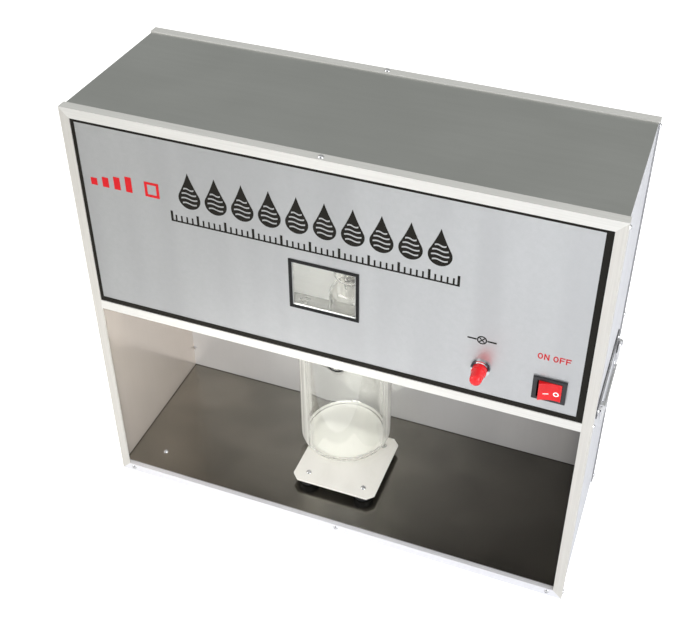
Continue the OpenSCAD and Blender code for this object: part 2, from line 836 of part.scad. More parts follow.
// Plate with round ends, and two lugs bored for the bail's pins
module handle_plate() {
    difference() {
        union() {
            translate([skin_x, 0, handle_z]) rotate([0, 90, 0]) linear_extrude(handle_plate_t)
                for (end = [0, 1]) mirror([0, end]) {
                    translate([0, plate_half - handle_plate_h / 2]) circle(d = handle_plate_h);
                    translate([-handle_plate_h / 2, 0])
                        square([handle_plate_h, plate_half - handle_plate_h / 2]);
                }
            for (end = [0, 1]) mirror([0, end, 0]) {
                translate([skin_x, lug_in, handle_z - bail_pin_r - 2])
                    cube([bail_off, lug_t, 2 * bail_pin_r + 4]);
                translate([pivot_x, 0, handle_z]) rod_y(bail_pin_r + 2, lug_in, lug_in + lug_t);
            }
        }
        translate([pivot_x, 0, handle_z]) rod_y(bail_pin_r + run_gap, -plate_half, plate_half);
        for (y = [-1, 1])
            translate([0, y * handle_screw_span / 2, handle_z]) rod_x(hole_r, skin_x - 1, side_x + 3);
    }
}

module left_handle_plate() {
    color("DarkSlateGray") mirror([1, 0, 0]) handle_plate();
}

module right_handle_plate() {
    color("DarkSlateGray") handle_plate();
}

// Bail: one bent rod, hanging from its pins
module bail() {
    arm_y = bail_span / 2;
    translate([pivot_x, 0, handle_z]) {
        translate([0, 0, -bail_drop]) rod_y(bail_r, -arm_y + bail_bend, arm_y - bail_bend);
        for (end = [0, 1]) mirror([0, end, 0]) {
            translate([0, arm_y - bail_bend, -bail_drop + bail_bend]) rotate([90, 0, 90])
                rotate_extrude(angle = -90) translate([bail_bend, 0]) circle(bail_r);
            translate([0, arm_y, -bail_drop + bail_bend]) cylinder(r = bail_r, h = bail_drop - bail_bend);
            translate([0, arm_y, 0]) sphere(bail_r);
            rod_y(bail_pin_r, arm_y, lug_in + lug_t + 0.6);
        }
    }
}

module left_bail() {
    color("LightGray") mirror([1, 0, 0]) bail();
}

module right_bail() {
    color("LightGray") bail();
}

module handle_screws() {
    color("WhiteSmoke") for (side = [0, 1], y = [-1, 1]) mirror([side, 0, 0])
        translate([skin_x + handle_plate_t, y * handle_screw_span / 2, handle_z])
            rotate([0, 90, 0]) pan_screw();
}

// ---------------------------------------------------------------- stand and beaker

module at_feet(rows = [-1, 1]) {
    for (side = [-1, 1], back = rows)
        translate([stand_x + side * foot_dx, stand_y + back * foot_dy, 0]) children();
}

// Plate; the holes under the beaker are countersunk, so that it stands flat
module stand_plate() {
    a = stand_w / 2;
    b = stand_d / 2;
    c = stand_cut;
    color("Linen") difference() {
        translate([stand_x, stand_y, stand_top - stand_t]) linear_extrude(stand_t) polygon([
            [a - c, -b], [a, -b + c], [a, b - c], [a - c, b],
            [-a + c, b], [-a, b - c], [-a, -b + c], [-a + c, -b],
        ]);
        at_feet() translate([0, 0, stand_top - stand_t - 1])
            cylinder(r = stand_hole_r + hole_gap, h = stand_t + 2);
        at_feet([1]) translate([0, 0, stand_top - sink_h])
            cylinder(r1 = stand_hole_r + hole_gap, r2 = stand_hole_r + sink_h + hole_gap, h = sink_h);
    }
}

// Rubber feet: tapered, rounded at the floor, and bored for their screws
module stand_feet() {
    round_r = 2;
    color("Black") at_feet() translate([0, 0, floor_z + seat_gap]) difference() {
        union() {
            cylinder(r = foot_tip_r - round_r, h = round_r);
            rotate_extrude() {
                square([foot_tip_r - round_r, round_r]);
                translate([foot_tip_r - round_r, round_r]) circle(round_r);
            }
            translate([0, 0, round_r]) cylinder(r1 = foot_tip_r, r2 = foot_r, h = foot_h - round_r);
        }
        translate([0, 0, 2.5]) cylinder(r = stand_hole_r + hole_gap, h = foot_h);
    }
}

// Screws: pan heads in front, and flat heads where the beaker stands
module stand_screws() {
    depth = stand_t + foot_h - 3;
    color("Silver") {
        at_feet([-1]) translate([0, 0, stand_top])
            pan_screw(r = 3.2, h = 1.7, shank = stand_hole_r, l = depth);
        at_feet([1]) translate([0, 0, stand_top]) difference() {
            union() {
                translate([0, 0, -depth]) cylinder(r = stand_hole_r, h = depth - sink_h);
                translate([0, 0, -sink_h])
                    cylinder(r1 = stand_hole_r, r2 = stand_hole_r + sink_h - 0.2, h = sink_h - 0.2);
            }
            for (turn = [0, 90]) rotate(turn) translate([-1.9, -0.35, -0.9]) cube([3.8, 0.7, 2]);
        }
    }
}

// Beaker: bent base, bead at the rim, and a pouring spout drawn out of it
module beaker() {
    inner_r = beaker_r - beaker_wall;
    turn = -78;
    color("AliceBlue", 0.35) translate([beaker_x, beaker_y, beaker_z]) difference() {
        union() {
            rotate_extrude($fn = 96) {
                cup_section(beaker_r, beaker_h - bead_r, beaker_bend);
                translate([beaker_r - bead_r, beaker_h - bead_r]) circle(bead_r);
            }
            rotate(turn) hull() {
                translate([beaker_r - 6, 0, beaker_h - bead_r - 1])
                    cylinder(r = 6 + spout_reach, h = bead_r + 1, $fn = 32);
                translate([beaker_r - 7, 0, beaker_h - 22]) cylinder(r = 6, h = 1, $fn = 32);
            }
        }
        translate([0, 0, beaker_base]) rotate_extrude($fn = 96)
            cup_section(inner_r, beaker_h, beaker_bend - beaker_wall);
        rotate(turn) hull() {
            translate([beaker_r - 6, 0, beaker_h - 1])
                cylinder(r = 6 + spout_reach - 2.2, h = 3, $fn = 32);
            translate([beaker_r - 8, 0, beaker_h - 20]) cylinder(r = 4, h = 1, $fn = 32);
        }
    }
}

// ---------------------------------------------------------------- still

// Bright sheet between condenser and boiler, with a foot bent to the rear
module heat_shield() {
    hole = hose_r + 3;
    color("Gainsboro") difference() {
        union() {
            translate([-shield_half, shield_y, deck_z]) cube([2 * shield_half, sheet_t, shield_h]);
            translate([-shield_half, shield_y, deck_z]) cube([2 * shield_half, 6, sheet_t]);
        }
        for (x = concat([feed_x], cool_nozzle_x))
            translate([x, 0, hole_low]) rod_y(hole, shield_y - 1, shield_y + 7);
    }
}

// Boiler: a closed quartz drum with a vapour neck, two collars at each end and a feed stub
module boiler_vessel() {
    half = boiler_l / 2;
    collar = 8;
    color("Azure", 0.4) difference() {
        union() {
            translate([-half, boiler_y, boiler_z]) rotate([0, 90, 0]) rotate_extrude()
                round_body_section(boiler_r, boiler_l, boiler_bend);
            translate([condenser_x, boiler_y, boiler_z]) cylinder(r = socket_out_r, h = boiler_r + 14);
            for (side = [-1, 1])
                translate([0, boiler_y + side * heater_dy, boiler_z + heater_dz])
                    rod_x(heater_r + 2.5, -half - collar, half + collar);
            translate([feed_x, boiler_y, boiler_z - boiler_r - 10]) cylinder(r = stub_r, h = 14);
        }
        translate([-half + quartz_t, boiler_y, boiler_z]) rotate([0, 90, 0]) rotate_extrude()
            round_body_section(boiler_r - quartz_t, boiler_l - 2 * quartz_t, boiler_bend - quartz_t);
        translate([condenser_x, boiler_y, boiler_z]) cylinder(r = socket_r, h = boiler_r + 15);
        for (side = [-1, 1])
            translate([0, boiler_y + side * heater_dy, boiler_z + heater_dz])
                rod_x(heater_r + hole_gap, -half - collar - 1, half + collar + 1);
        translate([feed_x, boiler_y, boiler_z - boiler_r - 11]) cylinder(r = stub_r - 1.4, h = 14);
    }
}

module heater_tubes() {
    reach = boiler_l / 2 + heater_out;
    color("MistyRose", 0.6) for (side = [-1, 1])
        translate([0, boiler_y + side * heater_dy, boiler_z + heater_dz]) difference() {
            rod_x(heater_r, -reach, reach);
            rod_x(heater_r - 1.3, -reach - 1, reach + 1);
        }
}

module heater_caps() {
    reach = boiler_l / 2 + heater_out;
    depth = 12;
    color("White") for (side = [-1, 1], end = [0, 1]) mirror([end, 0, 0])
        translate([0, boiler_y + side * heater_dy, boiler_z + heater_dz]) difference() {
            rod_x(heater_r + 3, reach - depth, reach + 5);
            rod_x(heater_r + hole_gap, reach - depth - 1, reach);
            rod_x(1.2, reach - 1, reach + 6);
        }
}

module boiler_saddles() {
    wide = 2 * boiler_r + 4;
    color("LightSteelBlue") for (x = [-saddle_x, saddle_x])
        translate([x - saddle_t / 2, boiler_y, deck_z]) rotate([90, 0, 90]) linear_extrude(saddle_t)
            difference() {
                translate([-wide / 2, 0]) square([wide, boiler_up - 6]);
                translate([0, boiler_up]) circle(boiler_r + hole_gap, $fn = 96);
                translate([-wide / 4, -1]) square([wide / 2, boiler_up / 3]);
            }
}

// Vapour bridge: out of the boiler's socket, over the heat shield and down into the condenser
module vapour_bridge() {
    reach = boiler_y - condenser_y;
    color("Azure", 0.4) difference() {
        bridge_path(bridge_r, reach);
        bridge_path(bridge_r - quartz_t, reach, past = 1);
    }
}

module bridge_path(r, reach, past = 0) {
    b = bridge_bend;
    legs = [[boiler_y, boiler_neck_top - socket_depth], [condenser_y, neck_top - socket_depth]];
    translate([condenser_x, 0, 0]) {
        for (leg = legs)
            translate([0, leg[0], leg[1] - past]) cylinder(r = r, h = bridge_z - b - leg[1] + past);
        translate([0, 0, bridge_z]) rod_y(r, condenser_y + b, boiler_y - b);
        translate([0, boiler_y - b, bridge_z - b]) rotate([90, 0, 90])
            rotate_extrude(angle = 90) translate([b, 0]) circle(r);
        translate([0, condenser_y + b, bridge_z - b]) rotate([90, 0, 90])
            rotate([0, 0, 90]) rotate_extrude(angle = 90) translate([b, 0]) circle(r);
    }
}

// Condenser: the collecting bulb with its neck above, socketed for the bridge, and a drain below
module condenser() {
    wall = quartz_t;
    color("Azure", 0.4) translate([condenser_x, condenser_y, bulb_z]) difference() {
        union() {
            rotate_extrude() round_body_section(bulb_r, bulb_h, bulb_bend);
            cylinder(r = neck_r, h = bulb_h + neck_h);
            translate([0, 0, bulb_h + neck_h - socket_depth - 3])
                cylinder(r = socket_out_r, h = socket_depth + 3);
            translate([0, 0, -bulb_up + sheet_t]) cylinder(r = delivery_r + 1.5, h = bulb_up + 1);
        }
        translate([0, 0, wall]) rotate_extrude()
            round_body_section(bulb_r - wall, bulb_h - 2 * wall, bulb_bend - wall);
        translate([0, 0, bulb_h / 2]) cylinder(r = neck_r - wall, h = bulb_h / 2 + neck_h + 1);
        translate([0, 0, bulb_h + neck_h - socket_depth]) cylinder(r = socket_r, h = socket_depth + 1);
        translate([0, 0, -bulb_up - 1]) cylinder(r = delivery_r + 0.2, h = bulb_up + wall + 2);
    }
}

// Jacket round the neck, closed to it at both ends, with an inlet and an outlet stub
module cooling_jacket() {
    wall = quartz_t;
    color("Azure", 0.4) translate([condenser_x, condenser_y, jacket_z]) difference() {
        union() {
            rotate_extrude() round_body_section(jacket_r, jacket_h, 6);
            for (z = [stub_low, stub_high])
                translate([0, 0, z - jacket_z]) rod_x(stub_r, 0, jacket_r + stub_out);
        }
        translate([0, 0, wall]) rotate_extrude()
            round_body_section(jacket_r - wall, jacket_h - 2 * wall, 6 - wall);
        translate([0, 0, -1]) cylinder(r = neck_r + hole_gap, h = jacket_h + 2);
        for (z = [stub_low, stub_high])
            translate([0, 0, z - jacket_z]) rod_x(stub_r - 1.4, jacket_r - 3, jacket_r + stub_out + 1);
    }
}

// Cooling coil wound round the neck inside the jacket
coil_steps = 24;
coil_path = [
    for (i = [0 : coil_turns * coil_steps])
        let (a = 360 * i / coil_steps)
        [coil_r * cos(a), coil_r * sin(a), 8 + coil_pitch * i / coil_steps]
];
// Least gap between the coil's turns, over points half a turn or more apart
coil_least_gap = min([
    for (i = [0 : len(coil_path) - 1], j = [i + coil_steps / 2 : 1 : len(coil_path) - 1])
        norm(coil_path[i] - coil_path[j])
]) - 2 * coil_tube_r;

module cooling_coil() {
    echo(coil_least_gap = coil_least_gap);
    color("LightCyan") translate([condenser_x, condenser_y, jacket_z])
        tube_along(coil_path, coil_tube_r, n = 6);
}

// Split ring round the jacket on an arm from the heat shield
module condenser_clip() {
    ring_z = jacket_z + (jacket_h - clip_h) / 2;
    arm = shield_y - condenser_y;
    color("SteelBlue") translate([condenser_x, condenser_y, ring_z]) difference() {
        union() {
            cylinder(r = jacket_r + clip_t, h = clip_h);
            translate([-clip_w / 2, jacket_r, 0]) cube([clip_w, arm - jacket_r, clip_h]);
        }
        translate([0, 0, -1]) cylinder(r = jacket_r + hole_gap, h = clip_h + 2);
        translate([-clip_split / 2, -jacket_r - 2 * clip_t, -1])
            cube([clip_split, 3 * clip_t, clip_h + 2]);
    }
}

// Delivery tube: down through the shelf, then bent over the beaker; a bead at each joint of its legs
module delivery_path(r, past = 0, bead = 0.03) {
    b = delivery_bend;
    a = delivery_angle;
    top = bulb_z + quartz_t - delivery_top;
    joint_x = b * (1 - cos(a));
    joint_z = b * sin(a);
    joints = [
        [0, 0], [joint_x, -joint_z],
        [delivery_reach - joint_x, joint_z - delivery_drop], [delivery_reach, -delivery_drop],
    ];
    translate([condenser_x, condenser_y, delivery_top]) rotate(delivery_turn) {
        cylinder(r = r, h = top + past);
        translate([b, 0, 0]) rotate([90, 0, 0]) rotate([0, 0, 180])
            rotate_extrude(angle = a) translate([b, 0]) circle(r);
        translate([joint_x, 0, -joint_z]) rotate([0, 180 - a, 0]) cylinder(r = r, h = delivery_run);
        translate([delivery_reach - b, 0, -delivery_drop]) rotate([90, 0, 0])
            rotate_extrude(angle = a) translate([b, 0]) circle(r);
        translate([delivery_reach, 0, -delivery_drop - delivery_tip - past])
            cylinder(r = r, h = delivery_tip + past);
        for (p = joints) translate([p[0], 0, p[1]]) sphere(r + bead);
    }
}

module delivery_tube() {
    color("Azure", 0.4) difference() {
        delivery_path(delivery_r);
        delivery_path(delivery_r - 1.2, past = 1, bead = 0.15);
    }
}

module shelf_grommet() {
    flange = 2;
    color("White") translate([condenser_x, condenser_y, shelf_z - flange]) difference() {
        union() {
            cylinder(r = delivery_r + 5, h = flange);
            cylinder(r = delivery_r + 2.4, h = flange + sheet_t);
        }
        translate([0, 0, -1]) cylinder(r = delivery_r + 0.1, h = 10);
    }
}

// ---------------------------------------------------------------- water and power

module level_bottle() {
    wall = 2;
    color("Azure", 0.4) translate([bottle_x, bottle_y, deck_z]) difference() {
        union() {
            rotate_extrude() round_body_section(bottle_r, bottle_h, 9);
            cylinder(r = bottle_neck_r, h = bottle_h + 14);
            translate([0, 0, bottle_stub_z - deck_z]) rod_x(stub_r, 0, bottle_r + 8);
        }
        translate([0, 0, wall]) rotate_extrude() round_body_section(bottle_r - wall, bottle_h - 2 * wall, 7);
        translate([0, 0, bottle_h / 2]) cylinder(r = bottle_neck_r - wall, h = bottle_h);
        translate([0, 0, bottle_stub_z - deck_z]) rod_x(stub_r - 1.4, bottle_r - 5, bottle_r + 9);
    }
}

module bottle_cap() {
    rim = bottle_neck_r + 3;
    color("White") translate([bottle_x, bottle_y, cap_z]) difference() {
        union() {
            cylinder(r = rim, h = cap_h - 3);
            cylinder(r1 = rim, r2 = rim - 2, h = cap_h);
            translate([-cap_tube_x, 0, cap_h - eps]) cylinder(r = stub_r, h = 10 + eps);
            translate([cap_tube_x, 0, cap_h - eps]) cylinder(r = stub_r - 1, h = 6);
        }
        translate([0, 0, -1]) cylinder(r = bottle_neck_r + hole_gap, h = 13 + hole_gap);
        for (x = [-cap_tube_x, cap_tube_x]) translate([x, 0, 5]) cylinder(r = stub_r - 2, h = 30);
    }
}

// Silicone hoses, from the nozzles and the bottle to the still. Each starts and ends square to the
// stub it is joined to, and a hair short of it
nozzle_back = back_y - nozzle_in;
hose_start = nozzle_back - hose_end;
cap_tube_top = cap_z + cap_h + 10 + hose_end;
bottle_out_x = bottle_x + bottle_r + 8 + hose_end;
boiler_in_z = boiler_z - boiler_r - 10 - hose_end;
jacket_out_x = condenser_x + jacket_r + stub_out + hose_end;
feed_route = [
    [feed_nozzle_x, hose_start, nozzle_z], [feed_nozzle_x, hose_start - 8, nozzle_z],
    [feed_nozzle_x - 2, hose_start - 24, nozzle_z + 2], [feed_nozzle_x - 5, shield_y + 16, nozzle_z + 10],
    [feed_nozzle_x - 6, shield_y - 20, nozzle_z + 40], [feed_nozzle_x + 12, bottle_y + 4, cap_z + 10],
    [bottle_x - cap_tube_x - 22, bottle_y, cap_tube_top + 20],
    [bottle_x - cap_tube_x - 3, bottle_y, cap_tube_top + 16],
    [bottle_x - cap_tube_x, bottle_y, cap_tube_top + 6], [bottle_x - cap_tube_x, bottle_y, cap_tube_top],
];
boiler_route = [
    [bottle_out_x, bottle_y, bottle_stub_z], [bottle_out_x + 8, bottle_y, bottle_stub_z],
    [bottle_out_x + 24, bottle_y + 6, bottle_stub_z + 2], [feed_x, bottle_y + 24, bottle_stub_z + 5],
    [feed_x, shield_y - 8, hole_low], [feed_x, shield_y + 8, hole_low],
    [feed_x, boiler_y - 10, hole_low + 8], [feed_x, boiler_y, boiler_in_z - 10],
    [feed_x, boiler_y, boiler_in_z],
];
cool_in_route = [
    [cool_nozzle_x[0], hose_start, nozzle_z], [cool_nozzle_x[0], hose_start - 8, nozzle_z],
    [cool_nozzle_x[0], hose_start - 22, nozzle_z - 2], [cool_nozzle_x[0], shield_y + 12, hole_low],
    [cool_nozzle_x[0], shield_y - 8, hole_low], [cool_nozzle_x[0], condenser_y + 4, hole_low + 16],
    [jacket_out_x + 16, condenser_y, stub_low - 6], [jacket_out_x + 8, condenser_y, stub_low],
    [jacket_out_x, condenser_y, stub_low],
];
cool_out_route = [
    [cool_nozzle_x[1], hose_start, nozzle_z], [cool_nozzle_x[1], hose_start - 8, nozzle_z],
    [cool_nozzle_x[1], hose_start - 22, nozzle_z - 2], [cool_nozzle_x[1], shield_y + 12, hole_low],
    [cool_nozzle_x[1], shield_y - 8, hole_low], [cool_nozzle_x[1] - 2, condenser_y, hole_low + 30],
    [cool_nozzle_x[1] - 14, condenser_y, stub_high - 16], [jacket_out_x + 20, condenser_y, stub_high - 1],
    [jacket_out_x + 8, condenser_y, stub_high], [jacket_out_x, condenser_y, stub_high],
];

module hoses() {
    color("WhiteSmoke") {
        tube_along(route(feed_route, 4), hose_r, start = [1, 0, 0]);
        tube_along(route(boiler_route, 4), hose_r, start = [0, 1, 0.1]);
        tube_along(route(cool_in_route, 4), hose_r, start = [1, 0, 0]);
        tube_along(route(cool_out_route, 4), hose_r, start = [1, 0, 0]);
    }
}

module at_nozzles() {
    for (x = concat([feed_nozzle_x], cool_nozzle_x)) translate([x, 0, nozzle_z]) children();
}

// Nozzles: straight tubes through the panel, each with an inside collar
module rear_nozzles() {
    rear_face = back_y + sheet_t + nut_t;
    color("Goldenrod") at_nozzles() difference() {
        union() {
            rod_y(nozzle_r, rear_face, rear_y + nozzle_out);
            rod_y(nozzle_root_r, nozzle_back, rear_face);
            rod_y(nut_r - 1, back_y - 3, back_y);
        }
        rod_y(nozzle_bore_r, nozzle_back - 1, rear_y + nozzle_out + 1);
    }
}

module nozzle_nuts() {
    face = back_y + sheet_t;
    color("Gold") at_nozzles() difference() {
        translate([0, face, 0]) rotate([-90, 0, 0]) cylinder(r = nut_r, h = nut_t, $fn = 6);
        rod_y(nozzle_root_r + hole_gap, face - 1, face + nut_t + 1);
    }
}

// Gland: a bored body with an inside nut and a domed outside nut
module cable_gland() {
    face = back_y + sheet_t;
    wide = gland_bore_r + 5;
    color("DarkSlateGray") translate([gland_x, 0, nozzle_z]) difference() {
        union() {
            rod_y(gland_bore_r + 2, back_y - 9, rear_y);
            translate([0, back_y - 4, 0]) rotate([-90, 0, 0]) cylinder(r = wide + 1, h = 4, $fn = 6);
            translate([0, face, 0]) rotate([-90, 0, 0]) cylinder(r = wide + 1, h = 5, $fn = 6);
            translate([0, face + 5 - eps, 0]) rotate([-90, 0, 0])
                cylinder(r1 = wide, r2 = gland_bore_r + 1.6, h = gland_out + rear_y - face - 5);
        }
        rod_y(gland_bore_r, back_y - 10, rear_y + gland_out + 1);
    }
}

// Terminal block: a row of ceramic ways with a screw pocket in each
module terminal_block() {
    pitch = 12;
    wide = terminal_ways * pitch;
    deep = 22;
    color("White") translate([gland_x - wide / 2, shield_y - 20 - deep, deck_z]) difference() {
        union() {
            cube([wide, deep, 6]);
            for (i = [0 : terminal_ways - 1]) translate([i * pitch + 1, 2, 0]) cube([pitch - 2, 18, 15]);
        }
        for (i = [0 : terminal_ways - 1], y = [7, 15])
            translate([(i + 0.5) * pitch, y, 8]) cylinder(r = 2.2, h = 10);
    }
}

front_left_post();
front_right_post();
rear_left_post();
rear_right_post();
front_top_rail();
front_mid_rail();
front_bottom_rail();
rear_top_rail();
rear_bottom_rail();
side_bottom_rails();
top_sheet();
left_side_panel();
right_side_panel();
rear_panel();
bay_floor();
left_bay_liner();
right_bay_liner();
divider_shelf();
frame_screws();
front_panel();
panel_border();
window_surround();
window_pane();
lamp_cap();
lamp_bezel();
lamp_barrel();
switch_housing();
switch_rocker();
switch_terminals();
left_handle_plate();
right_handle_plate();
left_bail();
right_bail();
handle_screws();
stand_plate();
stand_feet();
stand_screws();
beaker();
heat_shield();
boiler_vessel();
heater_tubes();
heater_caps();
boiler_saddles();
vapour_bridge();
condenser();
cooling_jacket();
cooling_coil();
condenser_clip();
delivery_tube();
shelf_grommet();
level_bottle();
bottle_cap();
hoses();
rear_nozzles();
nozzle_nuts();
cable_gland();
terminal_block();
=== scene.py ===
import math

import bmesh
import bpy
from mathutils import Matrix, Vector


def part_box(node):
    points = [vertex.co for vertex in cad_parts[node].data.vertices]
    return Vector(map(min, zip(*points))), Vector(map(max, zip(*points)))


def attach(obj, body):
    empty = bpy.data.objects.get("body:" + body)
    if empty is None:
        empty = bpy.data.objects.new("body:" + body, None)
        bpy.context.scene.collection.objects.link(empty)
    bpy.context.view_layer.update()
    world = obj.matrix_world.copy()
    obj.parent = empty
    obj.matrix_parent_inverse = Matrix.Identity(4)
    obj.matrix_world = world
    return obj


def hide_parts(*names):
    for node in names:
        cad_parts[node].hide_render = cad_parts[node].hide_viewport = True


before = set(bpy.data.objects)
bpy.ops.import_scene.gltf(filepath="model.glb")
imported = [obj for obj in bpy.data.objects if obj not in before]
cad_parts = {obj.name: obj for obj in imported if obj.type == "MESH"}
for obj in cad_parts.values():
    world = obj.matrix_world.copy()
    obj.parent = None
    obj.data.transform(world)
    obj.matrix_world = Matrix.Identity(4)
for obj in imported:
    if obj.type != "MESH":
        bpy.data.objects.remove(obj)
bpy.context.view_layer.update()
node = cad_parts
scene = bpy.context.scene

# Camera. It stands where the photograph was taken from: in front, to the right and above,
# a little rolled, with the frame shifted so that the cabinet sits as it does there.
camera_place = (0.30374, -0.81045, 0.96671)
degrees_right, degrees_down, degrees_rolled = 19.407, 36.11, 0.849
camera = bpy.data.objects.new("camera", bpy.data.cameras.new("camera"))
scene.collection.objects.link(camera)
camera.matrix_world = (
    Matrix.Translation(camera_place)
    @ Matrix.Rotation(math.radians(degrees_right), 4, "Z")
    @ Matrix.Rotation(math.radians(90 - degrees_down), 4, "X")
    @ Matrix.Rotation(math.radians(degrees_rolled), 4, "Z")
)
camera.data.sensor_width = 36
camera.data.lens = 56.23
camera.data.shift_x = -0.0425
camera.data.shift_y = -0.0986
camera.data.clip_start = 0.01
camera.data.clip_end = 50
scene.camera = camera
scene.view_settings.view_transform = "Standard"


# Studio: a white table, and a soft white surround that turns to grey behind the cabinet, and is
# dim high up in front of it. The top sheet mirrors the grey, the bay the dim place, and the
# front the table, which has painted shade: its colour is a little darker to the left.

def shader_node(tree, kind, **settings):
    made = tree.nodes.new("ShaderNode" + kind)
    for key, value in settings.items():
        setattr(made, key, value)
    return made


def fill(socket, value):
    """Join a socket to another node's output, or give it a number or colour of its own."""
    if isinstance(value, bpy.types.NodeSocket):
        socket.id_data.links.new(value, socket)
    else:
        socket.default_value = value


def set_inputs(made, **values):
    for key, value in values.items():
        fill(made.inputs[key.replace("_", " ")], value)
    return made


def worked_out(tree, kind, operation, *values, output=0):
    """What a Math or VectorMath node makes of the values."""
    made = shader_node(tree, kind, operation=operation)
    for socket, value in zip(made.inputs, values):
        fill(socket, value)
    return made.outputs[output]


def ranged(tree, value, start, end, low=0.0, high=1.0, smooth=False):
    """A number that runs from low, where value is at start, to high, where it is at end."""
    made = shader_node(tree, "MapRange", interpolation_type="SMOOTHSTEP" if smooth else "LINEAR")
    set_inputs(made, Value=value, From_Min=start, From_Max=end, To_Min=low, To_Max=high)
    return made.outputs["Result"]


def tinted(tree, share, base, tint):
    """A colour with a share of a tint mixed into it."""
    made = shader_node(tree, "Mix", data_type="RGBA")
    fill(made.inputs[0], share)
    fill(made.inputs[6], base)
    fill(made.inputs[7], (*tint, 1))
    return made.outputs[2]


def between(tree, share, low, high):
    """A colour or a number that runs from low to high with share."""
    if isinstance(low, tuple):
        return tinted(tree, share, (*low, 1), high)
    return ranged(tree, share, 0.0, 1.0, low, high)


def object_place(tree):
    return shader_node(tree, "TexCoord").outputs["Object"]


def parts_of(tree, vector):
    return set_inputs(shader_node(tree, "SeparateXYZ"), Vector=vector).outputs


world = bpy.data.worlds.new("studio")
world.use_nodes = True
scene.world = world
tree = world.node_tree
tree.nodes.clear()
direction = shader_node(tree, "TexCoord").outputs["Generated"]
behind = ranged(tree, parts_of(tree, direction)["Y"], -0.25, 0.45, smooth=True)
surround = between(tree, behind, (0.86, 0.87, 0.88), (0.40, 0.41, 0.40))
high_in_front = Vector((0.1, -0.76, 0.62)).normalized()
toward_it = worked_out(tree, "VectorMath", "DOT_PRODUCT", direction, high_in_front, output=1)
dim_place = ranged(tree, toward_it, 0.88, 0.98, smooth=True)
dimmed = tinted(tree, dim_place, surround, (0.13, 0.14, 0.16))
by_camera = shader_node(tree, "LightPath").outputs["Is Camera Ray"]
backdrop = tinted(tree, by_camera, dimmed, (1.6, 1.6, 1.6))
sky = set_inputs(shader_node(tree, "Background"), Color=backdrop)
set_inputs(shader_node(tree, "OutputWorld"), Surface=sky.outputs[0])


def soft_light(name, place, aim, wide, high, power, colour=(1, 1, 1), mirrored=True):
    lamp = bpy.data.lights.new(name, "AREA")
    lamp.shape = "RECTANGLE"
    lamp.size, lamp.size_y = wide, high
    lamp.energy = power
    lamp.color = colour
    held = bpy.data.objects.new(name, lamp)
    scene.collection.objects.link(held)
    held.location = place
    held.rotation_euler = (Vector(aim) - Vector(place)).to_track_quat("-Z", "Y").to_euler()
    held.visible_glossy = mirrored


soft_light("front_light", place=(1.1, -2.0, 1.8), aim=(-0.05, 0, 0.1), wide=1.8, high=1.5,
           power=54, mirrored=False)
soft_light("left_light", place=(-2.2, -0.4, 1.5), aim=(0, 0, 0.2), wide=1.6, high=1.6,
           power=14, colour=(1.0, 0.99, 0.97))
soft_light("right_light", place=(2.3, -0.6, 1.4), aim=(0, 0, 0.2), wide=1.6, high=1.6,
           power=28, colour=(0.96, 0.97, 1.0))
soft_light("bay_light", place=(-0.09, -0.40, 0.21), aim=(-0.21, 0.09, 0.17), wide=0.2, high=0.14,
           power=1.1, colour=(1.0, 0.98, 0.95), mirrored=False)
soft_light("compartment_light", place=(-0.03, -0.045, 0.465), aim=(-0.03, -0.03, 0.3), wide=0.36,
           high=0.05, power=0.7, colour=(1.0, 0.97, 0.94))


def made_object(name, shape):
    """An object in the scene, made of a finished bmesh."""
    made = bpy.data.objects.new(name, bpy.data.meshes.new(name))
    scene.collection.objects.link(made)
    shape.to_mesh(made.data)
    shape.free()
    return made


def new_material(name):
    material = bpy.data.materials.new(name)
    material.use_nodes = True
    return material, material.node_tree, material.node_tree.nodes["Principled BSDF"]


shape = bmesh.new()
bmesh.ops.create_grid(shape, x_segments=8, y_segments=8, size=6)
table = made_object("table", shape)
table.location.z = -0.0002
table_white, tree, surface = new_material("table_white")
# Painted shade: the table's colour runs darker to the left, so the front panel mirrors less light
# on that side.
shaded_tone = shader_node(tree, "ValToRGB")
shaded_tone.color_ramp.interpolation = "EASE"
shaded_tone.color_ramp.elements[0].color = (0.47, 0.465, 0.45, 1)
shaded_tone.color_ramp.elements[1].color = (0.93, 0.93, 0.95, 1)
shaded_tone.color_ramp.elements.new(0.55).color = (0.65, 0.655, 0.67, 1)
fill(shaded_tone.inputs[0], ranged(tree, parts_of(tree, object_place(tree))["X"], -0.75, 1.25))
by_camera = shader_node(tree, "LightPath").outputs["Is Camera Ray"]
set_inputs(surface, Base_Color=shaded_tone.outputs["Color"], Roughness=0.7,
           Emission_Color=(1, 1, 1, 1), Emission_Strength=by_camera)
table.data.materials.append(table_white)


# Corner posts and rails: aluminium angle, 10 mm a side, drawn through a die and anodised to a
# warm satin, all but the two rear posts, which are left plain. The front posts and the rails are
# one anodised finish in copies with painted shade and painted light: the front posts darker, the
# top, mid and side rails lighter, the bottom rails lightest and bluish. The rear posts' darker
# colour is painted shade. The long die lines run along each bar, and the sharp arrises are
# rubbed bright.

def shader_group(name, inputs, outputs):
    group = bpy.data.node_groups.new(name, "ShaderNodeTree")
    for label, kind, value in inputs:
        socket = group.interface.new_socket(
            label, in_out="INPUT", socket_type="NodeSocket" + kind)
        socket.default_value = value
    for label in outputs:
        group.interface.new_socket(label, in_out="OUTPUT", socket_type="NodeSocketFloat")
    given = group.nodes.new("NodeGroupInput")
    result = group.nodes.new("NodeGroupOutput")
    return group, given.outputs, result


def noise(tree, place, **values):
    return set_inputs(shader_node(tree, "TexNoise"), Vector=place, **values).outputs[0]


drawn_lines, given, result = shader_group(
    "drawn_lines", [("Stretch", "Vector", (20, 900, 900))], ["Lines"])
along_bar = worked_out(
    drawn_lines, "VectorMath", "MULTIPLY", object_place(drawn_lines), given["Stretch"])
lines = noise(drawn_lines, along_bar, Scale=1.0, Detail=3.0, Roughness=0.65)
set_inputs(result, Lines=ranged(drawn_lines, lines, 0.3, 0.7))

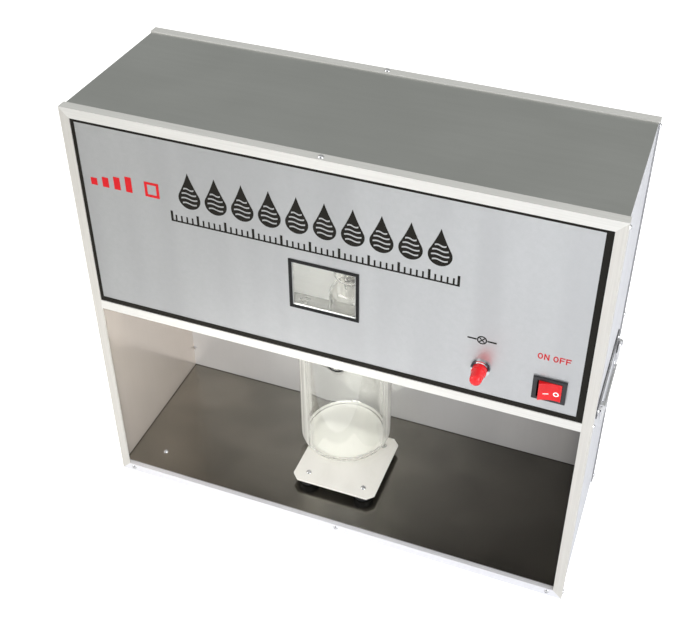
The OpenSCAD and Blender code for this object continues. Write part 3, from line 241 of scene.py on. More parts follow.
rubbed_edges, given, result = shader_group(
    "rubbed_edges", [("Width", "Float", 0.0004), ("Patchiness", "Float", 90.0)], ["Rubbed"])
rounded = set_inputs(shader_node(rubbed_edges, "Bevel", samples=4), Radius=given["Width"])
flat = shader_node(rubbed_edges, "NewGeometry")
agree = worked_out(rubbed_edges, "VectorMath", "DOT_PRODUCT", rounded.outputs[0],
                   flat.outputs["Normal"], output=1)
patches = noise(rubbed_edges, object_place(rubbed_edges), Scale=given["Patchiness"], Detail=3.0)
set_inputs(result, Rubbed=worked_out(
    rubbed_edges, "Math", "MULTIPLY",
    ranged(rubbed_edges, agree, 0.995, 0.85), ranged(rubbed_edges, patches, 0.35, 0.6),
))

handling, given, result = shader_group(
    "handling_marks", [("Size", "Float", 9.0), ("Fine", "Float", 220.0)], ["Smudge", "Specks"])
place = object_place(handling)
clouds = noise(handling, place, Scale=given["Size"], Detail=5.0, Roughness=0.6, Distortion=0.6)
specks = noise(handling, place, Scale=given["Fine"], Detail=2.0)
set_inputs(result, Smudge=ranged(handling, clouds, 0.38, 0.66, smooth=True),
           Specks=ranged(handling, specks, 0.66, 0.74))


def use_group(tree, group, **values):
    made = tree.nodes.new("ShaderNodeGroup")
    made.node_tree = group
    return set_inputs(made, **values).outputs


def raised(tree, surface, height, distance, strength=1.0):
    bump = shader_node(tree, "Bump")
    set_inputs(bump, Strength=strength, Distance=distance, Height=height)
    set_inputs(surface, Normal=bump.outputs[0])


def metal(name, stretch, dark, light, gloss, dull, rubbed=(0.95, 0.95, 0.94), smudge=9.0,
          relief=2e-6, bare=1.0):
    """Sheet or bar metal: drawn lines in its colour and relief, smudges in its gloss, bright
    edges. Under an oxide or a film of dirt, less of it acts as bare metal."""
    material, tree, surface = new_material(name)
    lines = use_group(tree, drawn_lines, Stretch=stretch)["Lines"]
    smudges = use_group(tree, handling, Size=smudge)["Smudge"]
    edges = use_group(tree, rubbed_edges)["Rubbed"]
    set_inputs(
        surface, Base_Color=tinted(tree, edges, between(tree, lines, dark, light), rubbed),
        Roughness=between(tree, smudges, gloss, dull), Metallic=bare,
    )
    if relief:
        raised(tree, surface, lines, relief)
    return material


def finish_nodes(material, *names):
    for name in names:
        mesh = node[name].data
        mesh.materials.clear()
        mesh.materials.append(material)


def anodised(name, stretch, dark, light):
    return metal(name, stretch, dark, light, gloss=0.38, dull=0.46, bare=0.6)


upright, level, deep = (700, 700, 9), (9, 700, 700), (700, 9, 700)
# Painted shade and painted light: the front posts, the rails and the side rails share one
# anodised finish, given in darker and lighter copies.
finish_nodes(
    anodised("angle_upright_shaded", upright, (0.62, 0.60, 0.56), (0.70, 0.68, 0.64)),
    "front_left_post", "front_right_post",
)
finish_nodes(
    anodised("angle_level_lit", level, (0.72, 0.71, 0.675), (0.80, 0.79, 0.755)),
    "front_top_rail", "front_mid_rail", "rear_top_rail",
)
finish_nodes(
    anodised("angle_foot_lit", level, (0.76, 0.76, 0.79), (0.84, 0.84, 0.87)),
    "front_bottom_rail", "rear_bottom_rail",
)
finish_nodes(
    anodised("angle_deep_lit", deep, (0.70, 0.70, 0.72), (0.80, 0.80, 0.82)), "side_bottom_rails",
)
# Painted shade: the rear posts' darker colour gives the dark line of shade along the cabinet's
# rear edges.
finish_nodes(
    metal("angle_rear_shaded", upright, (0.33, 0.33, 0.34), (0.42, 0.42, 0.43), gloss=0.42, dull=0.5,
          rubbed=(0.6, 0.6, 0.6)),
    "rear_left_post", "rear_right_post",
)


# Top sheet: plain mill finish stainless steel, dull and a little streaked along its length,
# with soft clouds where the rolls left it darker. It lies under the flanges of the angles.

def clouded(material, stretch, tint, most):
    """Mix a tint into a sheet's colour in soft clouds, stretched as the sheet was rolled."""
    tree = material.node_tree
    colour = tree.nodes["Principled BSDF"].inputs["Base Color"]
    rolled = worked_out(tree, "VectorMath", "MULTIPLY", object_place(tree), stretch)
    clouds = noise(tree, rolled, Scale=1.0, Detail=1.0)
    share = ranged(tree, clouds, 0.35, 0.65, high=most, smooth=True)
    fill(colour, tinted(tree, share, colour.links[0].from_socket, tint))


top_steel = metal("top_steel", (14, 160, 60), (0.555, 0.56, 0.535), (0.585, 0.59, 0.565),
                  gloss=0.32, dull=0.44, smudge=5.0, relief=5e-7)
clouded(top_steel, (7, 11, 7), tint=(0.49, 0.495, 0.47), most=0.4)
finish_nodes(top_steel, "top_sheet")


# Side panels: aluminium sheet with a white satin finish, held in the angles by their legs.
# The sheet was rolled upright, and its cut edges are hidden in the posts.

side_sheet = metal("side_sheet", (60, 60, 12), (0.83, 0.83, 0.86), (0.90, 0.90, 0.92),
                   gloss=0.42, dull=0.5)
finish_nodes(side_sheet, "left_side_panel", "right_side_panel")


# Open bay: a half mirror steel floor, two thin liners and the rear panel behind, with the
# shelf of the still above. All are bright rolled sheet without relief, so each blurs the
# others in itself.

def painted_shade(material, axis, at, wide, most, both_ways=False, shade_colour=(0.05, 0.045, 0.04)):
    """Mix painted shade into a sheet's colour, from none at wide before a place on the axis to
    most near it. Both ways, the same place on the other side of the middle is shaded too."""
    tree = material.node_tree
    colour = tree.nodes["Principled BSDF"].inputs["Base Color"]
    along = parts_of(tree, object_place(tree))[axis]
    if both_ways:
        along = worked_out(tree, "Math", "ABSOLUTE", along)
    share = ranged(tree, along, at - wide, at - wide * 0.25, high=most, smooth=True)
    fill(colour, tinted(tree, share, colour.links[0].from_socket, shade_colour))


bay_floor_steel = metal("bay_floor_steel", (12, 90, 60), (0.30, 0.286, 0.254),
                        (0.32, 0.306, 0.27), gloss=0.21, dull=0.25, smudge=7.0, relief=0)
bay_liner_steel = metal("bay_liner_steel", (60, 160, 12), (0.92, 0.84, 0.76),
                        (0.95, 0.87, 0.79), gloss=0.17, dull=0.21, relief=0, bare=0.65)
rear_steel = metal("rear_steel", (160, 60, 12), (0.90, 0.88, 0.865), (0.93, 0.91, 0.895),
                   gloss=0.2, dull=0.24, smudge=5.0, relief=0, bare=0.55)
shelf_steel = metal("shelf_steel", (12, 160, 60), (0.30, 0.30, 0.29), (0.36, 0.36, 0.35),
                    gloss=0.25, dull=0.35, relief=4e-7)
clouded(bay_floor_steel, (13, 17, 13), tint=(0.20, 0.193, 0.174), most=0.5)
clouded(bay_liner_steel, (9, 9, 6), tint=(0.76, 0.68, 0.615), most=0.4)
clouded(rear_steel, (9, 9, 6), tint=(0.66, 0.65, 0.64), most=0.5)

# Painted shade: the floor and the rear panel are painted darker to the right, a thin dark line
# of painted shade lies where the floor meets the liners and the rear panel, and the rear panel's
# right corner is painted dim.
liner_low, liner_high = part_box("right_bay_liner")
painted_shade(bay_floor_steel, "X", liner_low.x, wide=0.26, most=0.72)
painted_shade(bay_floor_steel, "X", liner_low.x, wide=0.0026, most=0.8, both_ways=True)
painted_shade(bay_floor_steel, "Y", liner_high.y, wide=0.0030, most=0.8)
painted_shade(rear_steel, "X", 0.12, wide=0.36, most=0.35, shade_colour=(0.55, 0.55, 0.55))
painted_shade(rear_steel, "X", liner_low.x, wide=0.04, most=0.35, shade_colour=(0.12, 0.14, 0.16))
finish_nodes(bay_floor_steel, "bay_floor")
finish_nodes(bay_liner_steel, "left_bay_liner", "right_bay_liner")
finish_nodes(rear_steel, "rear_panel")
finish_nodes(shelf_steel, "divider_shelf")


# Frame screws: plated steel pan heads with a cross slot, which hold the angles together. The
# plating is bright, and brighter still where a driver and fingers rubbed its edges.

screw_steel = metal("screw_steel", (300, 300, 300), (0.70, 0.70, 0.71), (0.84, 0.84, 0.85),
                    gloss=0.16, dull=0.26)
finish_nodes(screw_steel, "frame_screws")


# Front panel: aluminium sheet with a fine matt grain, silvery and slightly blue.
# It was brushed upright, which leaves faint upright clouds.

panel_aluminium = metal("panel_aluminium", (220, 220, 220), (0.69, 0.70, 0.70),
                        (0.725, 0.73, 0.735), gloss=0.36, dull=0.44, smudge=4.0)
clouded(panel_aluminium, (26, 26, 3), tint=(0.60, 0.605, 0.61), most=0.45)
finish_nodes(panel_aluminium, "front_panel")


# Border: black ink, screen printed round the panel in one coat. It is matt, and has fine
# paler specks where the coat is thin. The signs' inks are of the same kind.

def printed_ink(name, colour, worn, rough=0.45):
    material, tree, surface = new_material(name)
    marks = use_group(tree, handling, Size=30.0, Fine=900.0)
    set_inputs(
        surface, Base_Color=between(tree, marks["Specks"], colour, worn),
        Roughness=between(tree, marks["Smudge"], rough - 0.06, rough + 0.1),
        Specular_IOR_Level=0.15,
    )
    raised(tree, surface, marks["Smudge"], 4e-6)
    return material


black_ink = printed_ink("black_ink", (0.009, 0.008, 0.006), (0.03, 0.03, 0.028), rough=0.5)
finish_nodes(black_ink, "panel_border")


# Printed signs on the panel, in place of words: a row of ten water drops with a graduated
# line under it, a red gauge at the left, the circuit sign of a lamp, and ON and OFF.

red_ink = printed_ink("red_ink", (0.42, 0.010, 0.014), (0.46, 0.04, 0.04))
ink_thick = 0.00012
panel_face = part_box("front_panel")[0].y


def filled(shape, loops):
    """Fill a closed outline in X and Z, with the loops after it left open as holes."""
    edges = []
    for loop in loops:
        points = [shape.verts.new((x, 0, z)) for x, z in loop]
        edges += [
            shape.edges.new((point, points[(i + 1) % len(points)]))
            for i, point in enumerate(points)
        ]
    bmesh.ops.triangle_fill(
        shape, use_beauty=True, use_dissolve=False, edges=edges, normal=(0, -1, 0))


def face_forward(shape):
    bmesh.ops.recalc_face_normals(shape, faces=shape.faces)
    for face in shape.faces:
        if face.normal.y > 0:
            face.normal_flip()


def printed_piece(name, outlines, ink):
    """Closed outlines in X and Z, each with its holes, as one coat of ink on the panel."""
    shape = bmesh.new()
    for outer, holes in outlines:
        filled(shape, [outer] + holes)
    face_forward(shape)
    coat = bmesh.ops.extrude_face_region(shape, geom=list(shape.faces))
    outside = [v for v in coat["geom"] if isinstance(v, bmesh.types.BMVert)]
    bmesh.ops.translate(shape, vec=(0, -ink_thick, 0), verts=outside)
    bmesh.ops.recalc_face_normals(shape, faces=shape.faces)
    piece = made_object(name, shape)
    piece.location.y = panel_face
    piece.data.materials.append(ink)
    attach(piece, "cabinet")


def bar(x0, z0, x1, z1):
    return [(x0, z0), (x1, z0), (x1, z1), (x0, z1)]


def drop(x, z, half_wide, high):
    """A water drop with its round foot on z, drawn in to a point at the top."""
    tip = z + high
    points = []
    for i in range(33):
        turn = math.radians(-205 + 230 * i / 32)
        points.append((
            x + half_wide * math.cos(turn), z + half_wide + half_wide * math.sin(turn)))
    right_side = (points[-1], -1, range(1, 9))
    left_side = (points[0], 1, range(7, 0, -1))
    for (foot_x, foot_z), way, steps in (right_side, left_side):
        for i in steps:
            t = i / 8
            bend = way * 0.22 * (1 - t) * t * half_wide
            points.append((foot_x * (1 - t) + x * t + bend, foot_z * (1 - t) + tip * t))
    return points


def wave(x, z, half_wide, thick, rise):
    top, low = [], []
    for i in range(17):
        across = -half_wide + 2 * half_wide * i / 16
        lift = rise * math.sin(math.pi * 2 * i / 16)
        top.append((x + across, z + lift + thick / 2))
        low.append((x + across, z + lift - thick / 2))
    return top + low[::-1]


first_drop_x, drop_pitch = -0.1335, 0.0268
drop_foot, drop_half_wide, drop_high = 0.396, 0.0112, 0.0395
wave_thick, wave_rise = 0.0017, 0.0008
wave_heights_and_half_widths = (
    (0.4022, 0.0072), (0.4074, 0.0082), (0.4126, 0.0074), (0.4178, 0.0052))
drops = []
for i in range(10):
    x = first_drop_x + drop_pitch * i
    waves = [
        wave(x, z, half_wide, wave_thick, wave_rise)
        for z, half_wide in wave_heights_and_half_widths
    ]
    drops.append((drop(x, drop_foot, drop_half_wide, drop_high), waves))
printed_piece("drop_row", drops, black_ink)

line_left, line_right = -0.155, 0.127
line_foot, line_top, ticks_foot = 0.3782, 0.3799, 0.37992
long_tick, short_tick = (0.3900, 0.0024), (0.3862, 0.0017)
tick_gaps = 50
graduated = [(bar(line_left, line_foot, line_right, line_top), [])]
for i in range(tick_gaps + 1):
    top, thick = short_tick if i % 5 else long_tick
    x = line_left + (line_right - line_left) * i / tick_gaps
    x = min(max(x, line_left + thick / 2), line_right - thick / 2)
    graduated.append((bar(x - thick / 2, ticks_foot, x + thick / 2, top), []))
printed_piece("graduated_line", graduated, black_ink)

gauge_left, gauge_foot, gauge_pitch, gauge_bar_wide = -0.238, 0.400, 0.0125, 0.0068
box_left, box_right, box_top, box_line = -0.180, -0.165, 0.4165, 0.0028
gauge = []
for i, high in enumerate((0.008, 0.011, 0.014, 0.017)):
    x = gauge_left + gauge_pitch * i
    gauge.append((bar(x, gauge_foot, x + gauge_bar_wide, gauge_foot + high), []))
gauge.append((
    bar(box_left, gauge_foot, box_right, box_top),
    [bar(box_left + box_line, gauge_foot + box_line, box_right - box_line, box_top - box_line)],
))
printed_piece("red_gauge", gauge, red_ink)


def ring_points(x, z, r, count=28):
    turns = [2 * math.pi * i / count for i in range(count)]
    return [(x + r * math.cos(turn), z + r * math.sin(turn)) for turn in turns]


def slanted(x0, z0, x1, z1, thick):
    across = Vector((z0 - z1, x1 - x0)).normalized() * thick / 2
    return [
        (x0 + across.x, z0 + across.y), (x0 - across.x, z0 - across.y),
        (x1 - across.x, z1 - across.y), (x1 + across.x, z1 + across.y),
    ]


sign_x, sign_z, sign_r, sign_inner_r = 0.151, 0.324, 0.0047, 0.0035
cross_reach, cross_gap, cross_thick = 0.0023, 0.00045, 0.0011
lead_from, lead_to, lead_half_thick = 0.0050, 0.0135, 0.0008
cross_left, cross_right = sign_x - cross_reach, sign_x + cross_reach
cross_foot, cross_top = sign_z - cross_reach, sign_z + cross_reach
lamp_mark = [
    (ring_points(sign_x, sign_z, sign_r), [ring_points(sign_x, sign_z, sign_inner_r)]),
    (slanted(cross_left, cross_foot, cross_right, cross_top, cross_thick), []),
    (slanted(cross_left, cross_top, sign_x - cross_gap, sign_z + cross_gap, cross_thick), []),
    (slanted(sign_x + cross_gap, sign_z - cross_gap, cross_right, cross_foot, cross_thick), []),
]
for left, right in ((-lead_to, -lead_from), (lead_from, lead_to)):
    lead = bar(sign_x + left, sign_z - lead_half_thick, sign_x + right, sign_z + lead_half_thick)
    lamp_mark.append((lead, []))
printed_piece("lamp_mark", lamp_mark, black_ink)

letter_wide, letter_high, letter_thick, letters_foot = 0.0048, 0.0068, 0.00115, 0.3190
letters = (("O", 0.2020), ("N", 0.2078), ("O", 0.2160), ("F", 0.2218), ("F", 0.2274))


def oval(x, z, wide, high):
    return [(x + wide * px, z + high * pz) for px, pz in ring_points(0, 0, 1)]


def letter(sign, x, z):
    """One capital of the switch's ON and OFF, standing on z with its left side at x."""
    right, top = x + letter_wide, z + letter_high
    in_left, in_right, in_top = x + letter_thick, right - letter_thick, top - letter_thick
    if sign == "O":
        middle = (x + letter_wide / 2, z + letter_high / 2)
        inner = (letter_wide / 2 - letter_thick, letter_high / 2 - letter_thick)
        return oval(*middle, letter_wide / 2, letter_high / 2), [oval(*middle, *inner)]
    if sign == "N":
        low_bend, high_bend = z + letter_high * 0.32, z + letter_high * 0.68
        return [
            (x, z), (in_left, z), (in_left, high_bend), (in_right, z), (right, z),
            (right, top), (in_right, top), (in_right, low_bend), (in_left, top), (x, top),
        ], []
    arm, arm_foot = x + letter_wide * 0.86, z + letter_high * 0.42
    return [
        (x, z), (in_left, z), (in_left, arm_foot), (arm, arm_foot),
        (arm, arm_foot + letter_thick), (in_left, arm_foot + letter_thick),
        (in_left, in_top), (right, in_top), (right, top), (x, top),
    ], []


switch_mark = [letter(sign, x, letters_foot) for sign, x in letters]
printed_piece("switch_mark", switch_mark, red_ink)


# Window: a black moulded frame stuck on round the hole, whose cut edge shows as a bright line
# inside it, with a clear pane behind.

def moulded(name, colour, rough, grain=1500.0, depth=3e-6, specular=0.5):
    """Injection moulded plastic with a fine spark grain and a few paler scuffs."""
    material, tree, surface = new_material(name)
    smudges = use_group(tree, handling, Size=40.0)["Smudge"]
    edges = use_group(tree, rubbed_edges, Width=0.0003)["Rubbed"]
    deeper = tuple(c * 0.85 for c in colour)
    paler = tuple(min(1.0, c * 1.25 + 0.02) for c in colour)
    set_inputs(
        surface, Base_Color=tinted(tree, edges, between(tree, smudges, colour, deeper), paler),
        Roughness=between(tree, smudges, rough, rough + 0.12), Specular_IOR_Level=specular,
    )
    raised(tree, surface, noise(tree, object_place(tree), Scale=grain, Detail=2.0), depth)
    return material


def mixed_shader(tree, share, first, second):
    made = shader_node(tree, "MixShader")
    for socket, value in zip(made.inputs, (share, first, second)):
        fill(socket, value)
    return made.outputs[0]


def clear_glass(name, tint, ior, ripple=2e-5, edge=(0.0, 0.5, 0.8), foot_look=None):
    """Clear glass with the slight ripple of drawn or blown ware; light passes to what is behind.
    Where a wall is seen along itself, painted light makes it whitish: by edge's first number,
    between its two slopes. Its very rim has painted shade, dark where it bends in what lies
    beside it. A foot_look changes where the painted light lies."""
    material, tree, surface = new_material(name)
    place = object_place(tree)
    uneven = noise(tree, place, Scale=28.0, Detail=1.0)
    pale = tuple(min(1.0, c * 1.01) for c in tint)
    slope = set_inputs(shader_node(tree, "LayerWeight"), Blend=0.5).outputs["Facing"]
    # Painted shade: a dark tint in the glass's colour along its very rim.
    rim_shade = ranged(tree, slope, 0.84, 0.95, high=0.85)
    rim_shaded = tinted(tree, rim_shade, between(tree, uneven, tint, pale), (0.16, 0.175, 0.15))
    set_inputs(surface, Base_Color=rim_shaded, Roughness=0.0, IOR=ior, Transmission_Weight=1.0)
    raised(tree, surface, uneven, ripple, strength=0.5)

    # Painted light: a white diffuse is mixed into the glass in streaks where its wall is seen
    # along itself.
    most, first_slope, last_slope = edge
    wall_seen = ranged(tree, slope, first_slope, last_slope, high=most)
    off_rim_shade = worked_out(tree, "Math", "SUBTRACT", 1.0, rim_shade)
    within = worked_out(tree, "Math", "MULTIPLY", wall_seen, off_rim_shade)
    upright = worked_out(tree, "VectorMath", "MULTIPLY", place, (260, 260, 5))
    streaks = ranged(tree, noise(tree, upright, Scale=1.0, Detail=2.0), 0.35, 0.6, low=0.55)
    painted_light_share = worked_out(tree, "Math", "MULTIPLY", streaks, within)
    if foot_look:
        painted_light_share = foot_look(tree, painted_light_share)
    white = set_inputs(shader_node(tree, "BsdfDiffuse"), Color=(0.81, 0.805, 0.755, 1))
    with_painted_light = mixed_shader(tree, painted_light_share, surface.outputs[0], white.outputs[0])
    shadow = shader_node(tree, "LightPath").outputs["Is Shadow Ray"]
    clear = shader_node(tree, "BsdfTransparent")
    set_inputs(clear, Color=(*(c * 0.97 for c in tint), 1))
    fill(tree.nodes["Material Output"].inputs["Surface"],
         mixed_shader(tree, shadow, with_painted_light, clear.outputs[0]))
    return material


finish_nodes(moulded("dull_moulding", (0.010, 0.010, 0.010), 0.5, specular=0.2),
             "window_surround")
finish_nodes(clear_glass("pane_glass", (0.96, 0.985, 0.975), ior=1.52, ripple=2e-6),
             "window_pane")


# Indicator lamp: a red translucent cap over a neon bulb, on a plated bezel ring whose colour
# carries a painted reflection, in dark and bright bands round its axis. A black barrel goes
# through the panel.

red_cap, tree, surface = new_material("red_cap")
smudges = use_group(tree, handling, Size=60.0)["Smudge"]
set_inputs(
    surface, Base_Color=between(tree, smudges, (0.66, 0.016, 0.02), (0.58, 0.010, 0.014)),
    Roughness=between(tree, smudges, 0.12, 0.2),
    Subsurface_Weight=0.12, Subsurface_Radius=(0.004, 0.001, 0.001),
)
raised(tree, surface, smudges, 1e-5)
finish_nodes(red_cap, "lamp_cap")

bezel_low, bezel_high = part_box("lamp_bezel")
lamp_axis = ((bezel_low.x + bezel_high.x) / 2, 0, (bezel_low.z + bezel_high.z) / 2)
# Painted reflection: the ring's colour runs dark and bright in bands round the lamp's axis.
reflection_bands = 3.0
ring_with_reflections, tree, surface = new_material("ring_painted_reflection")
from_axis = parts_of(
    tree, worked_out(tree, "VectorMath", "SUBTRACT", object_place(tree), lamp_axis))
turn = worked_out(tree, "Math", "ARCTAN2", from_axis["Z"], from_axis["X"])
band_turn = worked_out(tree, "Math", "MULTIPLY_ADD", turn, reflection_bands, math.pi)
bright = ranged(tree, worked_out(tree, "Math", "SINE", band_turn), -0.2, 0.5)
set_inputs(
    surface, Base_Color=between(tree, bright, (0.10, 0.10, 0.11), (0.95, 0.95, 0.95)),
    Roughness=between(tree, bright, 0.2, 0.1), Metallic=1.0,
)
finish_nodes(ring_with_reflections, "lamp_bezel")
black_moulding = moulded("black_moulding", (0.02, 0.02, 0.022), 0.35)
finish_nodes(black_moulding, "lamp_barrel")


# Rocker switch: a glossy red rocker on an upright pivot in a black housing, with the usual
# bar and ring in white on its hollowed face, and brass tags behind.

red_rocker, tree, surface = new_material("red_rocker")
smudges = use_group(tree, handling, Size=50.0)["Smudge"]
edges = use_group(tree, rubbed_edges, Width=0.0004)["Rubbed"]
red = between(tree, smudges, (0.60, 0.008, 0.012), (0.50, 0.006, 0.009))
set_inputs(surface, Base_Color=tinted(tree, edges, red, (0.8, 0.10, 0.09)),
           Roughness=between(tree, smudges, 0.14, 0.24))
raised(tree, surface, smudges, 6e-6)
finish_nodes(red_rocker, "switch_rocker")
finish_nodes(black_moulding, "switch_housing")
brass = metal("brass", (400, 400, 400), (0.66, 0.50, 0.22), (0.80, 0.64, 0.32),
              gloss=0.2, dull=0.34)
finish_nodes(brass, "switch_terminals")

white_ink = printed_ink("white_ink", (0.86, 0.86, 0.84), (0.7, 0.66, 0.64))
rocker_pivot = Vector((0.2165, -0.0878, 0.2854))
rocker_rest = math.radians(11)
rocker_face_depth = 0.0341
rocker_face_r = 0.030
mark_lift = 0.00008


def on_rocker(x, z):
    """A point of the rocker's hollowed face, x across from its pivot and z up from its middle."""
    y = -rocker_face_depth + math.sqrt(rocker_face_r ** 2 - x * x) - mark_lift
    return rocker_pivot + Matrix.Rotation(rocker_rest, 3, "Z") @ Vector((x, y, z))


def rocker_mark(name, *loops):
    """A coat of ink on the rocker's face, in a closed outline and round its hole, if any."""
    shape = bmesh.new()
    filled(shape, loops)
    for point in shape.verts:
        point.co = on_rocker(point.co.x, point.co.z)
    face_forward(shape)
    bmesh.ops.solidify(shape, geom=list(shape.faces), thickness=ink_thick)
    bmesh.ops.recalc_face_normals(shape, faces=shape.faces)
    piece = made_object(name, shape)
    piece.data.materials.append(white_ink)
    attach(piece, "rocker")


on_left, on_long, on_foot, on_top = -0.0060, 0.0052, -0.0029, -0.0021
off_x, off_z, off_r, off_inner_r = 0.0058, -0.0018, 0.0026, 0.0016
on_steps = [on_left + on_long * i / 6 for i in range(7)]
rocker_mark("on_mark", [(x, on_foot) for x in on_steps] + [(x, on_top) for x in on_steps[::-1]])
rocker_mark("off_mark", ring_points(off_x, off_z, off_r), ring_points(off_x, off_z, off_inner_r))


# Carrying handles: a dark enamelled plate with two bright lugs, and a plated bail that folds
# down between them. The plate's dark face is also painted shade, for the shade between the bail
# and the panel. Each is held to its side panel by two screws.

lugs_from_x = 0.26005
# Painted shade, in part: the plate's dark face also stands for the shade between the bail and the
# panel.
dark_enamel_and_shade, tree, surface = new_material("dark_enamel_and_shade")
smudges = use_group(tree, handling, Size=25.0)["Smudge"]
edges = use_group(tree, rubbed_edges, Width=0.0005)["Rubbed"]
out_from = worked_out(tree, "Math", "ABSOLUTE", parts_of(tree, object_place(tree))["X"])
lug = worked_out(tree, "Math", "GREATER_THAN", out_from, lugs_from_x)
enamel = between(tree, smudges, (0.035, 0.036, 0.04), (0.06, 0.06, 0.064))
chipped = tinted(tree, edges, enamel, (0.36, 0.36, 0.36))
set_inputs(surface, Base_Color=tinted(tree, lug, chipped, (0.86, 0.86, 0.87)), Metallic=lug,
           Roughness=between(tree, smudges, 0.2, 0.34))
raised(tree, surface, smudges, 8e-6)
finish_nodes(dark_enamel_and_shade, "left_handle_plate", "right_handle_plate")
bright_plate = metal("bright_plate", (500, 500, 500), (0.82, 0.82, 0.83), (0.9, 0.9, 0.9),
                     gloss=0.12, dull=0.2)
finish_nodes(bright_plate, "left_bail", "right_bail")
finish_nodes(screw_steel, "handle_screws")


# Stand: a steel plate with its corners cut off, enamelled cream in a coat that dried with a
# fine peel. Four plated screws hold four black rubber feet under it.

cream_enamel, tree, surface = new_material("cream_enamel")
smudges = use_group(tree, handling, Size=18.0)["Smudge"]
edges = use_group(tree, rubbed_edges, Width=0.0004)["Rubbed"]
cream = between(tree, smudges, (0.66, 0.646, 0.60), (0.62, 0.606, 0.56))
set_inputs(surface, Base_Color=tinted(tree, edges, cream, (0.9, 0.89, 0.86)),
           Roughness=between(tree, smudges, 0.34, 0.46))
raised(tree, surface, noise(tree, object_place(tree), Scale=420.0, Detail=2.0), 1.2e-5)
finish_nodes(cream_enamel, "stand_plate")

black_rubber, tree, surface = new_material("black_rubber")
marks = use_group(tree, handling, Size=60.0, Fine=900.0)
set_inputs(
    surface, Base_Color=between(tree, marks["Specks"], (0.012, 0.012, 0.013), (0.06, 0.06, 0.06)),
    Roughness=between(tree, marks["Smudge"], 0.45, 0.62),
)
raised(tree, surface, marks["Specks"], 1e-5)
finish_nodes(black_rubber, "stand_feet")
finish_nodes(screw_steel, "stand_screws")


# Beaker: thick clear glass, blown in one piece with a rounded foot, a beaded rim and a
# pouring spout drawn out of the rim. Its base is thicker than its wall.

beaker_low, beaker_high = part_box("beaker")
beaker_centre = Vector((-0.027, 0.0305))
beaker_foot = beaker_low.z
beaker_tall = beaker_high.z - beaker_low.z
beaker_r = 0.0525
beaker_wall = 0.003
beaker_base = 0.004
foot_bend = 0.014
bead_r = 0.0019
bead_swell = 0.0006
bead_tall = 0.004
inner_r = beaker_r - beaker_wall
inner_bend = foot_bend - beaker_wall
inner_top = beaker_tall - bead_tall

# Its wall in section, as distances from the axis and heights: up the outside, over the bead
# and down the inside.
section = [(0.0, 0.0012), (0.012, 0.0009), (0.026, 0.0003), (beaker_r - foot_bend, 0.0)]
for i in range(1, 13):
    turn = math.radians(90 * i / 12)
    section.append((
        beaker_r - foot_bend + foot_bend * math.sin(turn), foot_bend * (1 - math.cos(turn))))
for i in range(1, 24):
    section.append((beaker_r, foot_bend + (beaker_tall - foot_bend - 2 * bead_r) * i / 23))
for i in range(1, 12):
    turn = math.radians(-90 + 245 * i / 11)
    section.append((
        beaker_r - bead_r + bead_r * math.cos(turn) + bead_swell * max(0, math.cos(turn)),
        beaker_tall - bead_r + bead_r * math.sin(turn),
    ))
for i in range(24):
    section.append((inner_r, inner_top - (inner_top - beaker_base - inner_bend) * i / 23))
for i in range(1, 13):
    turn = math.radians(90 * i / 12)
    section.append((
        inner_r - inner_bend + inner_bend * math.cos(turn),
        beaker_base + inner_bend * (1 - math.sin(turn)),
    ))
section += [
    (0.026, beaker_base + 0.0003), (0.012, beaker_base + 0.0008), (0.0, beaker_base + 0.001)]

spout_turn = math.radians(-78)
spout_reach = 0.0068
spout_dip = 0.0016
spout_tall = 0.024
spout_half_turn, lip_half_turn = 0.155, 0.13
pinch, pinch_turn, pinch_half_turn = 0.18, 0.36, 0.13


def hump(off, half_turn):
    return math.exp(-((off / half_turn) ** 2))


def spout(turn, z):
    """How far the spout draws the wall out, and how far up, at a turn and a height. Beside
    it, the wall is pinched in a little."""
    off = abs((turn - spout_turn + math.pi) % (2 * math.pi) - math.pi)
    near_rim = max(0.0, 1 - (beaker_tall - z) / spout_tall)
    lobe = hump(off, spout_half_turn) - pinch * hump(off - pinch_turn, pinch_half_turn)
    return (spout_reach * lobe * near_rim ** 1.9,
            -spout_dip * hump(off, lip_half_turn) * near_rim ** 4)


shape = bmesh.new()
around = 160
rings = []
for r, z in section:
    if r == 0.0:
        rings.append([shape.verts.new((*beaker_centre, beaker_foot + z))])
        continue
    ring = []
    for k in range(around):
        turn = 2 * math.pi * k / around
        out, up = spout(turn, z)
        ring.append(shape.verts.new((
            beaker_centre.x + (r + out) * math.cos(turn),
            beaker_centre.y + (r + out) * math.sin(turn),
            beaker_foot + z + up,
        )))
    rings.append(ring)
for low, high in zip(rings, rings[1:]):
    for k in range(around):
        j = (k + 1) % around
        if len(low) == 1:
            shape.faces.new((low[0], high[j], high[k]))
        elif len(high) == 1:
            shape.faces.new((low[k], low[j], high[0]))
        else:
            shape.faces.new((low[k], low[j], high[j], high[k]))
bmesh.ops.recalc_face_normals(shape, faces=shape.faces)
for face in shape.faces:
    face.smooth = True
glass_beaker = made_object("glass_beaker", shape)


def base_painted_light(tree, painted_light_share):
    """Painted light: the base's thickness white, for the white plate seen through it, and the
    wall's painted light faint where the wall bends into it.
    """
    height = parts_of(tree, object_place(tree))["Z"]
    below = ranged(tree, height, beaker_foot + 0.0062, beaker_foot + 0.0054, high=0.62)
    above = ranged(tree, height, beaker_foot + 0.003, beaker_foot + 0.0036)
    clear_foot = ranged(tree, height, beaker_foot + 0.004, beaker_foot + 0.012, low=0.15)
    base_light = worked_out(tree, "Math", "MULTIPLY", below, above)
    side_wall = worked_out(tree, "Math", "MULTIPLY", painted_light_share, clear_foot)
    return worked_out(tree, "Math", "MAXIMUM", base_light, side_wall)


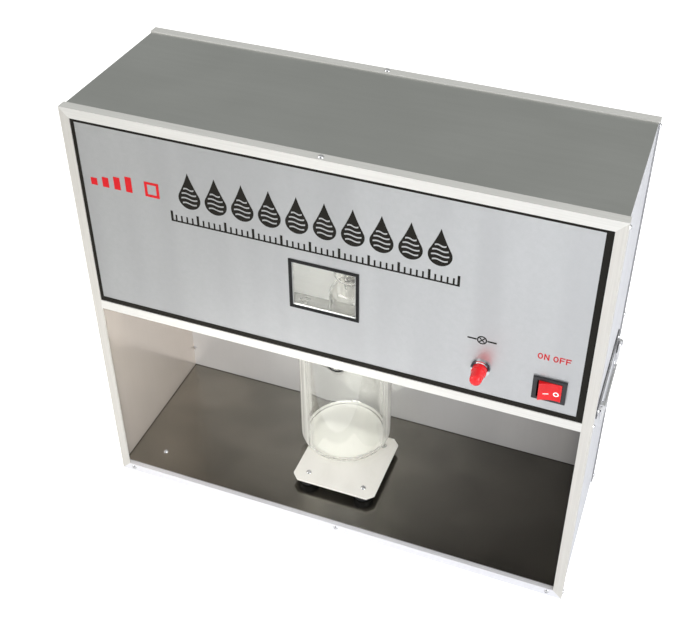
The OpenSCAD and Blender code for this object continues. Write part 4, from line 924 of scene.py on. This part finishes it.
beaker_glass = clear_glass("beaker_glass", (0.985, 0.99, 0.98), ior=1.47, ripple=4e-5,
                           edge=(0.85, 0.5, 0.72), foot_look=base_painted_light)
glass_beaker.data.materials.append(beaker_glass)
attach(glass_beaker, "beaker")
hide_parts("beaker")


# Still: fused quartz, blown and joined by hand. The boiler lies behind a bright sheet, and
# the vapour bridge, the cooled neck and the collecting bulb stand in front of it.

quartz = clear_glass("quartz", (0.99, 0.985, 0.97), ior=1.458, ripple=1.2e-4,
                     edge=(0.35, 0.45, 0.8))
finish_nodes(
    quartz, "boiler_vessel", "vapour_bridge", "condenser", "cooling_jacket", "cooling_coil",
    "delivery_tube", "level_bottle",
)
heater_quartz = clear_glass("heater_quartz", (0.95, 0.9, 0.84), ior=1.458, ripple=5e-5)
finish_nodes(heater_quartz, "heater_tubes")
bright_sheet = metal("bright_sheet", (12, 60, 420), (0.86, 0.85, 0.83), (0.92, 0.91, 0.89),
                     gloss=0.3, dull=0.4, bare=0.5)
finish_nodes(bright_sheet, "heat_shield", "boiler_saddles", "condenser_clip")


# Fittings: white ceramic end caps and terminal block, a white plastic grommet and bottle cap,
# milky silicone hoses, turned brass nozzles with their nuts, and a black cable gland.

ceramic = moulded("ceramic", (0.82, 0.81, 0.77), 0.3, grain=600.0, depth=8e-6)
finish_nodes(ceramic, "heater_caps", "terminal_block")
white_plastic = moulded("white_plastic", (0.84, 0.84, 0.82), 0.4)
finish_nodes(white_plastic, "shelf_grommet", "bottle_cap")
silicone, tree, surface = new_material("silicone")
smudges = use_group(tree, handling, Size=40.0)["Smudge"]
set_inputs(
    surface, Base_Color=between(tree, smudges, (0.8, 0.8, 0.78), (0.72, 0.72, 0.69)),
    Roughness=between(tree, smudges, 0.35, 0.5),
    Subsurface_Weight=0.3, Subsurface_Radius=(0.004, 0.004, 0.004),
)
raised(tree, surface, smudges, 3e-5)
finish_nodes(silicone, "hoses")
finish_nodes(brass, "rear_nozzles", "nozzle_nuts")
finish_nodes(black_moulding, "cable_gland")
